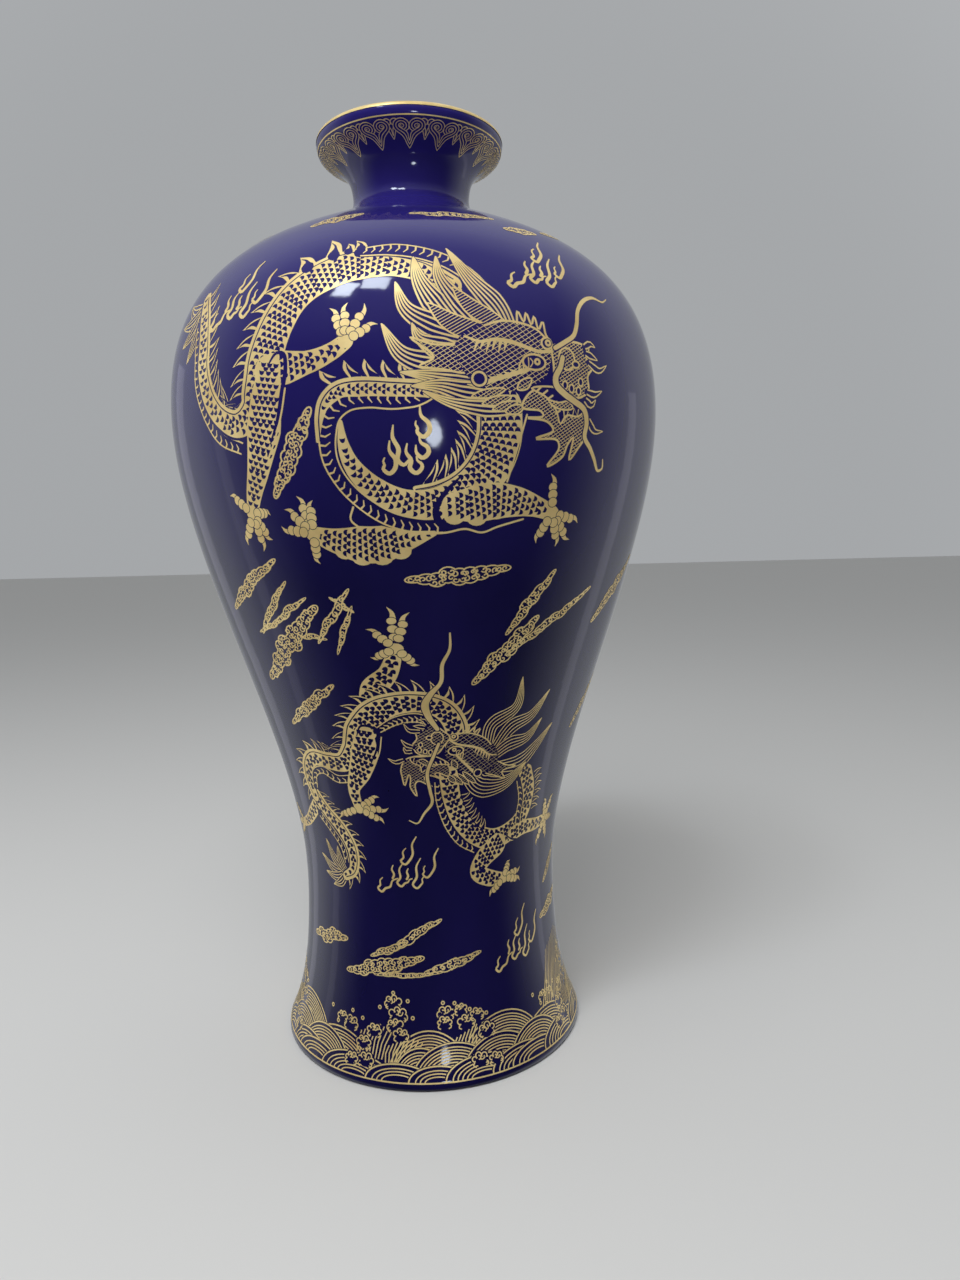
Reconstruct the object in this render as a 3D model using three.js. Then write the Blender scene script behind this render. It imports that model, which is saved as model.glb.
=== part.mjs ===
// A meiping vase: one hollow turned body of glazed porcelain, high shouldered, with a short
// waisted neck and a flaring lip. Millimetres, +Z up, origin in the middle of the foot.
// The front of the vase faces -Y.

import * as THREE from 'three';

// Heights, each counted up from the one before it, foot to lip
const waistHeight = 74.4;
const bellyRise = 205.6;
const shoulderRise = 85;
const neckRootRise = 9;
const flareRise = 19.5;
const lipHeight = 6.5;

// Outer radii
const footRadius = 69.8;
const waistRadius = 58.5;
const bellyRadius = 106.3;
const neckRadius = 25.6;
const neckRootSpread = 8.2;
const lipRadius = 40.8;
const lipUndercut = 1.6;

// Wall, floor and foot ring
const wallThickness = 5;
const neckWall = 4.2;
const floorThickness = 7;
const footRingWidth = 8.5;
const footRecessDepth = 5;
const footRecessDraft = 1.2;
const footEdgeRadius = 1.8;
const floorCornerRadius = 14;

// How far each curve runs straight on before it bends, at its lower and its upper end
const footSpring = 15.7;
const footToeIn = 6.9;
const ankleEase = 41;
const flankEaseLow = 61;
const flankEaseHigh = 61;
const shoulderSpring = 62;
const shoulderReach = 30.6;
const shoulderTilt = 15.3;
const neckRootEase = 4.5;
const flareEaseLow = 12;
const flareReach = 9.5;
const flareDrop = 5.2;

// Steps of the faceted surface
const stepsAround = 56;
const footSteps = 6;
const flankSteps = 11;
const shoulderSteps = 10;
const neckRootSteps = 3;
const flareSteps = 7;
const lipSteps = 5;
const cornerSteps = 2;

const waistZ = waistHeight;
const bellyZ = waistZ + bellyRise;
const neckRootZ = bellyZ + shoulderRise;
const neckZ = neckRootZ + neckRootRise;
const lipZ = neckZ + flareRise;
const topZ = lipZ + lipHeight;
const neckRootRadius = neckRadius + neckRootSpread;

function point(radius, z) {
  return new THREE.Vector2(radius, z);
}

// A stretch of the outline that leaves its first point towards its second one
// and comes to its last point from its third one
function bend(first, second, third, last) {
  return new THREE.CubicBezierCurve(first, second, third, last);
}

// The outside of the wall, from the top of the foot ring's edge to the underside of the lip
const foot = bend(
  point(footRadius, footEdgeRadius),
  point(footRadius - footToeIn, footEdgeRadius + footSpring),
  point(waistRadius, waistZ - ankleEase),
  point(waistRadius, waistZ),
);
const flank = bend(
  point(waistRadius, waistZ),
  point(waistRadius, waistZ + flankEaseLow),
  point(bellyRadius, bellyZ - flankEaseHigh),
  point(bellyRadius, bellyZ),
);
const shoulder = bend(
  point(bellyRadius, bellyZ),
  point(bellyRadius, bellyZ + shoulderSpring),
  point(neckRootRadius + shoulderReach, neckRootZ - shoulderTilt),
  point(neckRootRadius, neckRootZ),
);
const shoulderEnd = point(-shoulderReach, shoulderTilt).normalize();
const neckRoot = bend(
  point(neckRootRadius, neckRootZ),
  point(neckRootRadius, neckRootZ).addScaledVector(shoulderEnd, neckRootEase),
  point(neckRadius, neckZ - neckRootEase),
  point(neckRadius, neckZ),
);
const flare = bend(
  point(neckRadius, neckZ),
  point(neckRadius, neckZ + flareEaseLow),
  point(lipRadius - lipUndercut - flareReach, lipZ - flareDrop),
  point(lipRadius - lipUndercut, lipZ),
);

// The points of a stretch, without its first one, which ends the stretch before it
function along(curve, steps) {
  return curve.getPoints(steps).slice(1);
}

// The same points moved inwards by the thickness of the wall there
function inside(curve, steps, wallAtStart, wallAtEnd) {
  const points = [];
  for (let step = 0; step <= steps; step += 1) {
    const share = step / steps;
    const outer = curve.getPoint(share);
    const direction = curve.getTangent(share);
    const wall = THREE.MathUtils.lerp(wallAtStart, wallAtEnd, share);
    points.push(point(outer.x - wall * direction.y, outer.y + wall * direction.x));
  }
  return points;
}

// The inner wall from the ankle up to the lip
const innerFoot = inside(foot, footSteps, wallThickness, wallThickness);
const innerWall = [
  ...innerFoot,
  ...inside(flank, flankSteps - 3, wallThickness, wallThickness).slice(1),
  ...inside(shoulder, shoulderSteps - 2, wallThickness, wallThickness).slice(1),
  ...inside(neckRoot, neckRootSteps, wallThickness, neckWall).slice(1),
  ...inside(flare, flareSteps - 2, neckWall, neckWall).slice(1),
];
const innerLip = innerWall[innerWall.length - 1];

// The rounded lip: out and up from the underside, over the top and down to the inner wall
const crownRadius = (lipRadius + innerLip.x) / 2;
const lipOutside = bend(
  point(lipRadius - lipUndercut, lipZ),
  point(lipRadius, lipZ + lipUndercut),
  point(lipRadius + lipUndercut / 2, topZ),
  point(crownRadius, topZ),
);
const lipInside = bend(
  point(crownRadius, topZ),
  point((crownRadius + innerLip.x) / 2, topZ),
  point(innerLip.x + lipUndercut / 2, (topZ + innerLip.y) / 2),
  innerLip,
);

// The floor, with a round corner up into the inner wall
const floorZ = footRecessDepth + floorThickness;
const wallAboveFloor = innerWall.filter((each) => each.y > floorZ + floorCornerRadius * 0.8);
const cornerTop = wallAboveFloor[0];
const floorCorner = new THREE.QuadraticBezierCurve(
  cornerTop,
  point(cornerTop.x, floorZ),
  point(cornerTop.x - floorCornerRadius, floorZ),
);

// The underside: a flat foot ring round a shallow recess
const ringInnerRadius = footRadius - footEdgeRadius - footRingWidth;
const footEdge = new THREE.QuadraticBezierCurve(
  point(footRadius - footEdgeRadius, 0),
  point(footRadius, 0),
  point(footRadius, footEdgeRadius),
);

const outline = [
  point(0, footRecessDepth),
  point(ringInnerRadius - footRecessDraft, footRecessDepth),
  point(ringInnerRadius, 0),
  point(footRadius - footEdgeRadius, 0),
  ...along(footEdge, cornerSteps),
  ...along(foot, footSteps),
  ...along(flank, flankSteps),
  ...along(shoulder, shoulderSteps),
  ...along(neckRoot, neckRootSteps),
  ...along(flare, flareSteps),
  ...along(lipOutside, lipSteps),
  ...along(lipInside, cornerSteps),
  ...wallAboveFloor.slice(0, -1).reverse(),
  ...along(floorCorner, cornerSteps),
  point(0, floorZ),
];

function turnedBody(points) {
  const geometry = new THREE.LatheGeometry(points, stepsAround);
  geometry.rotateX(Math.PI / 2);
  return geometry;
}

const cobaltGlaze = new THREE.MeshStandardMaterial({
  color: new THREE.Color(0.03, 0.028, 0.2),
  roughness: 0.08,
  metalness: 0,
});

const vase = new THREE.Mesh(turnedBody(outline), cobaltGlaze);
vase.name = 'vase';

const part = new THREE.Group();
part.add(vase);

export default part;
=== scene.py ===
# %% [markdown]
# # A cobalt and gold meiping vase
# The real vase is one hollow porcelain body under a deep cobalt glaze. The gold was painted on the
# fired glaze and fired again at a lower heat, so it lies on the wall as a thin film. This lesson
# builds the same two layers in the same order: first the glazed wall, then the gilding on it.

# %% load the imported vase
import bisect
import math
import random

import bpy
import numpy as np
from mathutils import Matrix, Vector, geometry


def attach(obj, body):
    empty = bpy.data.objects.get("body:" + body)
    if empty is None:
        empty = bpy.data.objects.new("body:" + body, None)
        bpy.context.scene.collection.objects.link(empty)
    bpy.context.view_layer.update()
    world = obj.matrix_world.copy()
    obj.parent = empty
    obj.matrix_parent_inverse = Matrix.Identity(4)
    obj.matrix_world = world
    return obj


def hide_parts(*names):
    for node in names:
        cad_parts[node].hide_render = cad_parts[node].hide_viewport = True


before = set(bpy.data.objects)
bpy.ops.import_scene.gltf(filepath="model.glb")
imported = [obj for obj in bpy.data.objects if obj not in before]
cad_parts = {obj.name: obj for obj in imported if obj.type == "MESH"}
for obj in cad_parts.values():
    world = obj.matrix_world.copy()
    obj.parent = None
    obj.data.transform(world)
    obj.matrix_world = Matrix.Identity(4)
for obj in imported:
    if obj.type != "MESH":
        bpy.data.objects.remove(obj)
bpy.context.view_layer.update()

# %% [markdown]
# ## The camera
# The place of the camera follows from the vase's own outline in the picture: a little above its
# middle and close, so the lip is seen from below and the foot from above. It comes first, because
# every later choice of detail depends on what it sees.

# %% place the camera
MM = 0.001
IMAGE_HEIGHT = 1280
FOCAL_PIXELS = 879.8
SENSOR = 36.0
EYE_DISTANCE = 410.4 * MM
EYE_HEIGHT = 228.6 * MM
EYE_DOWN = math.radians(6.746)
EYE_RIGHT = math.radians(3.635)
EYE_ROLL = math.radians(1.282)


def aim_camera():
    """A camera at the eye, looking along +Y, then turned right, down and round its own axis."""
    data = bpy.data.cameras.new("eye")
    data.sensor_fit = "VERTICAL"
    data.sensor_height = SENSOR
    data.lens = FOCAL_PIXELS / IMAGE_HEIGHT * SENSOR
    data.clip_start = 0.01
    camera = bpy.data.objects.new("eye", data)
    bpy.context.scene.collection.objects.link(camera)
    ahead = Matrix.Rotation(math.radians(90), 4, "X")
    right = Matrix.Rotation(-EYE_RIGHT, 4, "Z")
    down = Matrix.Rotation(-EYE_DOWN, 4, "X")
    roll = Matrix.Rotation(-EYE_ROLL, 4, "Z")
    place = Matrix.Translation((0, -EYE_DISTANCE, EYE_HEIGHT))
    camera.matrix_world = place @ right @ ahead @ down @ roll
    bpy.context.scene.camera = camera
    return camera


eye = aim_camera()
print("lens", round(eye.data.lens, 2), "mm")

# %% [markdown]
# ## The outline of the wall
# A thrown or cast vase is the same all round, so its shape is one curve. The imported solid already
# has it: its edges in the plane y = 0 are the outline, from the middle of the underside round the
# wall to the middle of the floor inside. Reading it there keeps this model and the solid the same.

# %% read the outline from the solid
def walk_outline(mesh):
    """The points (radius, height) of the half outline, in order, in metres."""
    def key(vertex):
        return (round(vertex.co.x, 6), round(vertex.co.z, 6))

    near = {}
    for edge in mesh.edges:
        ends = [mesh.vertices[index] for index in edge.vertices]
        if all(abs(end.co.y) < 2e-6 and end.co.x > -1e-6 for end in ends):
            first, last = key(ends[0]), key(ends[1])
            if first != last:
                near.setdefault(first, set()).add(last)
                near.setdefault(last, set()).add(first)
    here = min(point for point in near if point[0] < 1e-6)
    walk = [here]
    while True:
        ahead = [point for point in near[walk[-1]] if point not in walk]
        if not ahead:
            return walk
        walk.append(ahead[0])


outline = walk_outline(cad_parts["vase"].data)
crown = max(range(len(outline)), key=lambda index: outline[index][1])
print(len(outline), "outline points, the crown of the lip is number", crown)

# %% [markdown]
# The solid has few, long facets. A curve through its points gives a fine, smooth wall: each stretch
# between two points is a cubic that leaves and arrives along the line between its neighbours. The
# same helper smooths every painted line later.

# %% a smooth curve through points
STEPS_PER_STRETCH = 12


def through(points, spacing, closed=False):
    """Evenly spaced points on a smooth curve through the given ones."""
    knots = [Vector(point) for point in points]
    count = len(knots)
    if closed:
        knots = [knots[-1]] + knots + knots[:2]
    else:
        knots = [2 * knots[0] - knots[1]] + knots + [2 * knots[-1] - knots[-2]]
    fine = []
    for index in range(1, count + 1 if closed else count):
        before, first, last, after = knots[index - 1:index + 3]
        steps = [math.sqrt(max((b - a).length, 1e-9))
                 for a, b in ((before, first), (first, last), (last, after))]
        span = steps[1]
        leave = ((first - before) / steps[0] - (last - before) / (steps[0] + span)
                 + (last - first) / span) * span
        arrive = ((last - first) / span - (after - first) / (span + steps[2])
                  + (after - last) / steps[2]) * span
        for step in range(STEPS_PER_STRETCH):
            t = step / STEPS_PER_STRETCH
            fine.append((2 * t**3 - 3 * t**2 + 1) * first + (t**3 - 2 * t**2 + t) * leave
                        + (3 * t**2 - 2 * t**3) * last + (t**3 - t**2) * arrive)
    fine.append(knots[1].copy() if closed else knots[-2].copy())
    return spaced(fine, spacing)


def spaced(fine, spacing):
    """The same line with points at equal distances along it."""
    lengths = [0.0]
    for first, last in zip(fine, fine[1:]):
        lengths.append(lengths[-1] + (last - first).length)
    total = lengths[-1]
    count = max(2, round(total / spacing))
    even = []
    place = 0
    for step in range(count + 1):
        goal = total * step / count
        while place < len(fine) - 2 and lengths[place + 1] < goal:
            place += 1
        gap = lengths[place + 1] - lengths[place]
        share = (goal - lengths[place]) / gap if gap > 0 else 0.0
        even.append(fine[place].lerp(fine[place + 1], min(max(share, 0.0), 1.0)))
    return even


print("a corner of three points becomes", len(through(((0, 0), (1, 0), (1, 1)), 0.1)), "points")

# %% [markdown]
# The crown of the lip parts the outline into an outer side, which carries the gilding, and an inner
# side. Distances up the outer side are measured once, because every stroke of gold is placed by its
# angle round the vase and its distance up the wall. The glaze lies a hair inside the solid's skin,
# so that the gold on top of it doesn't stand out past the solid, and for the same reason the smooth
# curve is kept from rising over the crown.

# %% the outer and inner side of the wall
GLAZE_INSET = 0.08 * MM
OUTER_STEP = 0.5 * MM
INNER_STEP = 3.0 * MM
FOOT_RING = [index for index, point in enumerate(outline[:crown]) if point[1] < 1e-6]
whole_line = through(outline[FOOT_RING[-1]:-2], OUTER_STEP)
for point in whole_line:
    point.y = min(point.y, outline[crown][1])
top = max(range(len(whole_line)), key=lambda index: whole_line[index].y)
outer_line = whole_line[:top + 1]
inner_line = spaced(whole_line[top:], INNER_STEP)
wall_length = [0.0]
for first, last in zip(outer_line, outer_line[1:]):
    wall_length.append(wall_length[-1] + (last - first).length)


def wall_at(along):
    """Radius, height and outward slope of the outer wall, at a distance up it from the foot."""
    place = min(max(bisect.bisect(wall_length, along) - 1, 0), len(outer_line) - 2)
    gap = wall_length[place + 1] - wall_length[place]
    share = (along - wall_length[place]) / gap
    here = outer_line[place].lerp(outer_line[place + 1], share)
    before = outer_line[max(place - 2, 0)]
    after = outer_line[min(place + 3, len(outer_line) - 1)]
    up = (after - before).normalized()
    return here.x, here.y, up.y, -up.x


def wall_point(angle, along, lift):
    """A point on the wall and the way out of it there. Angle 0 is the front, at -Y."""
    radius, height, out, rise = wall_at(along)
    radius += (lift - GLAZE_INSET) * out
    height += (lift - GLAZE_INSET) * rise
    place = Vector((radius * math.sin(angle), -radius * math.cos(angle), height))
    normal = Vector((out * math.sin(angle), -out * math.cos(angle), rise))
    return place, normal


print("the wall is", round(wall_length[-1] / MM, 1), "mm long from foot to crown")

# %% [markdown]
# ## Glaze and gold
# The glaze is a dark blue body under a clear, glassy skin. Up over the shoulder, neck and lip it
# is painted lighter and more violet, a painted light from above. Its blue is uneven and its skin
# is never quite flat: noise at two scales, one of them stretched down the wall the way glaze runs.

# %% small helpers for the finishes
def new_finish(name):
    """An empty material with its shader, ready for wiring."""
    material = bpy.data.materials.new(name)
    material.use_nodes = True
    tree = material.node_tree
    shader = tree.nodes["Principled BSDF"]
    where = tree.nodes.new("ShaderNodeTexCoord")
    return material, tree, shader, where.outputs["Object"]


def speckle(tree, where, scale, detail, stretch=(1, 1, 1)):
    """Noise at a scale per metre, drawn out along an axis where its stretch is under 1."""
    lay = tree.nodes.new("ShaderNodeMapping")
    lay.inputs["Scale"].default_value = stretch
    tree.links.new(where, lay.inputs["Vector"])
    noise = tree.nodes.new("ShaderNodeTexNoise")
    noise.inputs["Scale"].default_value = scale
    noise.inputs["Detail"].default_value = detail
    tree.links.new(lay.outputs["Vector"], noise.inputs["Vector"])
    return noise.outputs["Fac"]


def between(tree, amount, low, high, floor=0.35, ceiling=0.65):
    """A number or a colour that runs from low to high as an amount does, from floor to ceiling."""
    if isinstance(low, float):
        ramp = tree.nodes.new("ShaderNodeMapRange")
        ramp.inputs["From Min"].default_value = floor
        ramp.inputs["From Max"].default_value = ceiling
        ramp.inputs["To Min"].default_value = low
        ramp.inputs["To Max"].default_value = high
        tree.links.new(amount, ramp.inputs["Value"])
        return ramp.outputs["Result"]
    ramp = tree.nodes.new("ShaderNodeValToRGB")
    ramp.color_ramp.elements[0].position = floor
    ramp.color_ramp.elements[0].color = (*low, 1)
    ramp.color_ramp.elements[1].position = ceiling
    ramp.color_ramp.elements[1].color = (*high, 1)
    tree.links.new(amount, ramp.inputs["Fac"])
    return ramp.outputs["Color"]


def dimple(tree, shader, amount, depth, strength):
    """A bump of a real depth, in metres, on the shader's normal."""
    bump = tree.nodes.new("ShaderNodeBump")
    bump.inputs["Strength"].default_value = strength
    bump.inputs["Distance"].default_value = depth
    tree.links.new(amount, bump.inputs["Height"])
    tree.links.new(bump.outputs["Normal"], shader.inputs["Normal"])


# %% the cobalt glaze
COBALT_DEEP = (0.0042, 0.0034, 0.034)
COBALT_THIN = (0.0068, 0.0050, 0.050)
# painted light: a lighter, more violet blue from 0.21 m up, standing in for light falling from above
COBALT_PAINTED_TOP_LIGHT = (0.0180, 0.0130, 0.125)
PAINTED_LIGHT_HEIGHTS = (0.21, 0.345)
COLOUR_A, COLOUR_B, COLOUR_OUT = 6, 7, 2


def mix_cobalt_glaze():
    """Deep blue under a clear skin, with painted light from above: lighter and more violet towards the
    top.
    """
    material, tree, shader, where = new_finish("cobalt_glaze")
    runs = speckle(tree, where, scale=24.0, detail=5.0, stretch=(1.0, 1.0, 0.35))
    body = between(tree, runs, COBALT_DEEP, COBALT_THIN)
    axes = tree.nodes.new("ShaderNodeSeparateXYZ")
    tree.links.new(where, axes.inputs["Vector"])
    # painted light: the colour ramps to the lighter blue up the vase, as if lit from above
    height = between(tree, axes.outputs["Z"], 0.0, 1.0, *PAINTED_LIGHT_HEIGHTS)
    painted_light_mix = tree.nodes.new("ShaderNodeMix")
    painted_light_mix.data_type = "RGBA"
    tree.links.new(height, painted_light_mix.inputs["Factor"])
    tree.links.new(body, painted_light_mix.inputs[COLOUR_A])
    painted_light_mix.inputs[COLOUR_B].default_value = (*COBALT_PAINTED_TOP_LIGHT, 1)
    tree.links.new(painted_light_mix.outputs[COLOUR_OUT], shader.inputs["Base Color"])
    breath = speckle(tree, where, scale=90.0, detail=3.0)
    tree.links.new(between(tree, breath, 0.05, 0.09), shader.inputs["Roughness"])
    ripple = speckle(tree, where, scale=140.0, detail=2.0)
    dimple(tree, shader, ripple, depth=0.00012, strength=0.35)
    shader.inputs["IOR"].default_value = 1.5
    return material


cobalt_glaze = mix_cobalt_glaze()
print(cobalt_glaze.name, len(cobalt_glaze.node_tree.nodes), "nodes")

# %% [markdown]
# Fired gold is metal, but its fine grain scatters light as paint does, so this finish is half
# metallic and satin: a full metal would turn black wherever the room is dark. The inside is a plain
# white glaze. The foot ring was ground bare, so it is rough and a little soiled.

# %% the gold, the white inside and the bare foot
GOLD_BRIGHT = (0.95, 0.74, 0.34)
GOLD_WORN = (0.77, 0.56, 0.23)
WHITE_CLEAR = (0.72, 0.74, 0.73)
WHITE_DIM = (0.60, 0.63, 0.64)
CLAY_CLEAN = (0.76, 0.71, 0.62)
CLAY_SOILED = (0.42, 0.36, 0.28)


def mix_gilding():
    """Brushed-on bright gold, fired to a satin: slightly uneven, thinner and duller in places."""
    material, tree, shader, where = new_finish("gilding")
    cloudy = speckle(tree, where, scale=85.0, detail=5.0)
    tree.links.new(between(tree, cloudy, GOLD_WORN, GOLD_BRIGHT, 0.3, 0.62),
                   shader.inputs["Base Color"])
    grain = speckle(tree, where, scale=900.0, detail=3.0)
    tree.links.new(between(tree, grain, 0.34, 0.50), shader.inputs["Roughness"])
    dimple(tree, shader, grain, depth=0.00003, strength=0.4)
    shader.inputs["Metallic"].default_value = 0.5
    return material


def mix_white_glaze():
    """The plain, faintly blue white of the inside."""
    material, tree, shader, where = new_finish("white_glaze")
    tint = speckle(tree, where, scale=30.0, detail=4.0)
    tree.links.new(between(tree, tint, WHITE_DIM, WHITE_CLEAR), shader.inputs["Base Color"])
    ripple = speckle(tree, where, scale=120.0, detail=2.0)
    dimple(tree, shader, ripple, depth=0.0001, strength=0.3)
    shader.inputs["Roughness"].default_value = 0.1
    return material


def mix_bare_foot():
    """Unglazed porcelain, ground flat and a little soiled."""
    material, tree, shader, where = new_finish("bare_foot")
    soil = speckle(tree, where, scale=160.0, detail=6.0)
    tree.links.new(between(tree, soil, CLAY_SOILED, CLAY_CLEAN, 0.3, 0.55),
                   shader.inputs["Base Color"])
    grit = speckle(tree, where, scale=1500.0, detail=4.0)
    dimple(tree, shader, grit, depth=0.0001, strength=0.8)
    shader.inputs["Roughness"].default_value = 0.8
    return material


gilding = mix_gilding()
white_glaze = mix_white_glaze()
bare_foot = mix_bare_foot()
for finish in (gilding, white_glaze, bare_foot):
    print(finish.name, len(finish.node_tree.nodes), "nodes")

# %% [markdown]
# ## The glazed wall
# The whole vessel is one skin: underside, wall, lip, inside and floor. It is made ring by ring from
# the outline. A screw modifier could turn it too, but rings made by hand also give each face its
# finish and its place on a flat unwrapped sheet.

# %% turn the wall
COLUMNS = 256
ROW_HEIGHT = 2.0 * MM
BLUE, BARE, WHITE = range(3)


def turn_wall():
    """One mesh of rings, with glaze outside, white inside and bare clay under the foot ring."""
    rows = [(Vector(point), BLUE) for point in outline[1:FOOT_RING[0] + 1]]
    rows += [(Vector(outline[FOOT_RING[-1]]), BARE)]
    rows += [(point, BLUE) for point in spaced(outer_line, ROW_HEIGHT)[1:]]
    rows += [(point, WHITE) for point in inner_line[1:]]
    rows += [(Vector(outline[-2]), WHITE)]
    inset = []
    for index, (point, finish) in enumerate(rows):
        before = rows[max(index - 1, 0)][0]
        after = rows[min(index + 1, len(rows) - 1)][0]
        up = (after - before).normalized()
        away = GLAZE_INSET if finish == BLUE and point.y > 1 * MM else 0.0
        inset.append(Vector((point.x - away * up.y, point.y + away * up.x)))
    vertices = []
    for point in inset:
        for column in range(COLUMNS):
            angle = 2 * math.pi * column / COLUMNS
            vertices.append((point.x * math.sin(angle), -point.x * math.cos(angle), point.y))
    faces = []
    finishes = []
    for row in range(len(rows) - 1):
        for column in range(COLUMNS):
            following = (column + 1) % COLUMNS
            faces.append((row * COLUMNS + column, row * COLUMNS + following,
                          (row + 1) * COLUMNS + following, (row + 1) * COLUMNS + column))
            finishes.append(rows[row + 1][1])
    for row, centre, finish in ((0, outline[0], BLUE), (len(rows) - 1, outline[-1], WHITE)):
        hub = len(vertices)
        vertices.append((0.0, 0.0, centre[1]))
        for column in range(COLUMNS):
            pair = (row * COLUMNS + column, row * COLUMNS + (column + 1) % COLUMNS)
            faces.append((hub, pair[1], pair[0]) if row == 0 else (pair[0], pair[1], hub))
            finishes.append(finish)
    mesh = bpy.data.meshes.new("glazed_body")
    mesh.from_pydata(vertices, [], faces)
    for material in (cobalt_glaze, bare_foot, white_glaze):
        mesh.materials.append(material)
    mesh.polygons.foreach_set("material_index", finishes)
    mesh.shade_smooth()
    lay_out(mesh, len(rows))
    return mesh


# %% unwrap the skin on a flat sheet
def lay_out(mesh, row_count):
    """Unwraps the skin: once round is the sheet's width, underside to floor is its height."""
    sheet = mesh.uv_layers.new(name="OFBake")
    last = row_count * COLUMNS
    for polygon in mesh.polygons:
        columns = [mesh.loops[loop].vertex_index % COLUMNS for loop in polygon.loop_indices
                   if mesh.loops[loop].vertex_index < last]
        wraps = max(columns) - min(columns) > 1
        middle = sum(columns) / len(columns) + 0.5
        for loop in polygon.loop_indices:
            vertex = mesh.loops[loop].vertex_index
            column = vertex % COLUMNS if vertex < last else middle
            row = vertex // COLUMNS if vertex < last else (-1 if vertex == last else row_count)
            if wraps and column == 0:
                column = COLUMNS
            sheet.data[loop].uv = (column / COLUMNS, (row + 1) / (row_count + 1))


# %% set the wall up as a piece
def add_piece(name, mesh):
    """Links a mesh as a piece that stands with the vase."""
    piece = bpy.data.objects.new(name, mesh)
    bpy.context.scene.collection.objects.link(piece)
    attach(piece, "root")
    return piece


glazed_body = add_piece("glazed_body", turn_wall())
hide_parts("vase")
print("glazed body", len(glazed_body.data.polygons), "faces")

# %% [markdown]
# ## A drawing kit for the gilder
# The gold is flat work, so it is drawn flat and then wrapped round the wall. A drawing is in
# millimetres: across is the way round the vase, up is the way up its wall. Shapes are laid down in
# order, in gold or in bare glaze, and a later one covers an earlier one, as with paper cut-outs.
# In the end only what is still gold becomes mesh. A texture could show the same, but real edges
# stay sharp however close one looks.

# %% the drawing and its two brushes
ROUND_END = 0.3


class Drawing:
    """Flat shapes in gold and bare glaze, on a sheet for one belt of the wall.

    The radius is the wall's there. The touch thins the strokes that tone a shape.
    """

    def __init__(self, radius, touch=1.0):
        self.radius = radius
        self.touch = touch
        self.points = []
        self.edges = []
        self.pieces = []

    def at(self, degrees, along):
        """The place on the sheet of an angle round the vase and a distance up its wall."""
        return Vector((math.radians(degrees) * self.radius, along))

    def path(self, *pairs):
        """Several such places."""
        return [self.at(degrees, along) for degrees, along in pairs]

    def lay(self, corners, order, edges, gold):
        """Adds a shape: its corners, its triangles and the edges of its outline."""
        start = len(self.points)
        self.points.extend(corners)
        self.edges.extend([(start + first, start + last) for first, last in edges])
        for face in order:
            self.pieces.append(([corners[index][:] for index in face], gold))

    def fill(self, corners, gold=True):
        """A closed shape without crossings."""
        corners = [Vector(corner) for corner in corners]
        count = len(corners)
        order = geometry.tessellate_polygon([[corner.to_3d() for corner in corners]])
        self.lay(corners, order, [(i, (i + 1) % count) for i in range(count)], gold)

    def band(self, left, right, gold=True):
        """The strip between two lines that run side by side."""
        count = len(left)
        order = []
        edges = [(0, count), (count - 1, 2 * count - 1)]
        for index in range(count - 1):
            order.append((index, count + index, count + index + 1))
            order.append((index, count + index + 1, index + 1))
            edges.append((index, index + 1))
            edges.append((count + index, count + index + 1))
        self.lay(left + right, order, edges, gold)

    def line(self, path, width, gold=True):
        """A brush stroke. The width is a number, or several that it runs through."""
        half = [value / 2 for value in along_values(width, len(path))]
        left = offset(path, half)
        right = offset(path, [-value for value in half])
        self.band(left, right, gold)
        for end, value in ((path[0], half[0]), (path[-1], half[-1])):
            if value > ROUND_END:
                self.fill(oval(end, value, value, 0, 8), gold)

    def ring(self, path, width):
        """A gold stroke that closes on itself."""
        self.line(path + [path[0], path[1]], width)


# %% widths along a line, its two sides, and ovals
def along_values(values, count):
    """One value for each point, read evenly from a number or a few numbers."""
    if isinstance(values, (int, float)):
        return [float(values)] * count
    result = []
    for index in range(count):
        place = index / max(count - 1, 1) * (len(values) - 1)
        first = min(int(place), len(values) - 2)
        result.append(values[first] + (values[first + 1] - values[first]) * (place - first))
    return result


def normals(path):
    """The way to the left of the path at each point."""
    result = []
    for index in range(len(path)):
        way = path[min(index + 1, len(path) - 1)] - path[max(index - 1, 0)]
        way = way.normalized() if way.length > 1e-9 else Vector((1, 0))
        result.append(Vector((-way.y, way.x)))
    return result


def offset(path, distances):
    """The path moved to its left by a distance at each point."""
    return [point + way * distance
            for point, way, distance in zip(path, normals(path), distances)]


def oval(centre, wide, high, turn=0.0, corners=16):
    """The corners of an ellipse."""
    spin = Matrix.Rotation(turn, 2)
    return [centre + spin @ Vector((wide * math.cos(a), high * math.sin(a)))
            for a in (2 * math.pi * index / corners for index in range(corners))]


# %% [markdown]
# Flattening is a job for Blender's own two-dimensional triangulation. It is given every outline at
# once and cuts them where they cross. For each small triangle that comes back, the last shape laid
# over its middle decides: gold is kept, glaze is dropped. Some loose grid points go in as well, so
# that no triangle is large enough to cut a corner through the round wall.

# %% find what is still gold
SORTING_CELL = 2.5
NO_AREA = 1e-7


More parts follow.
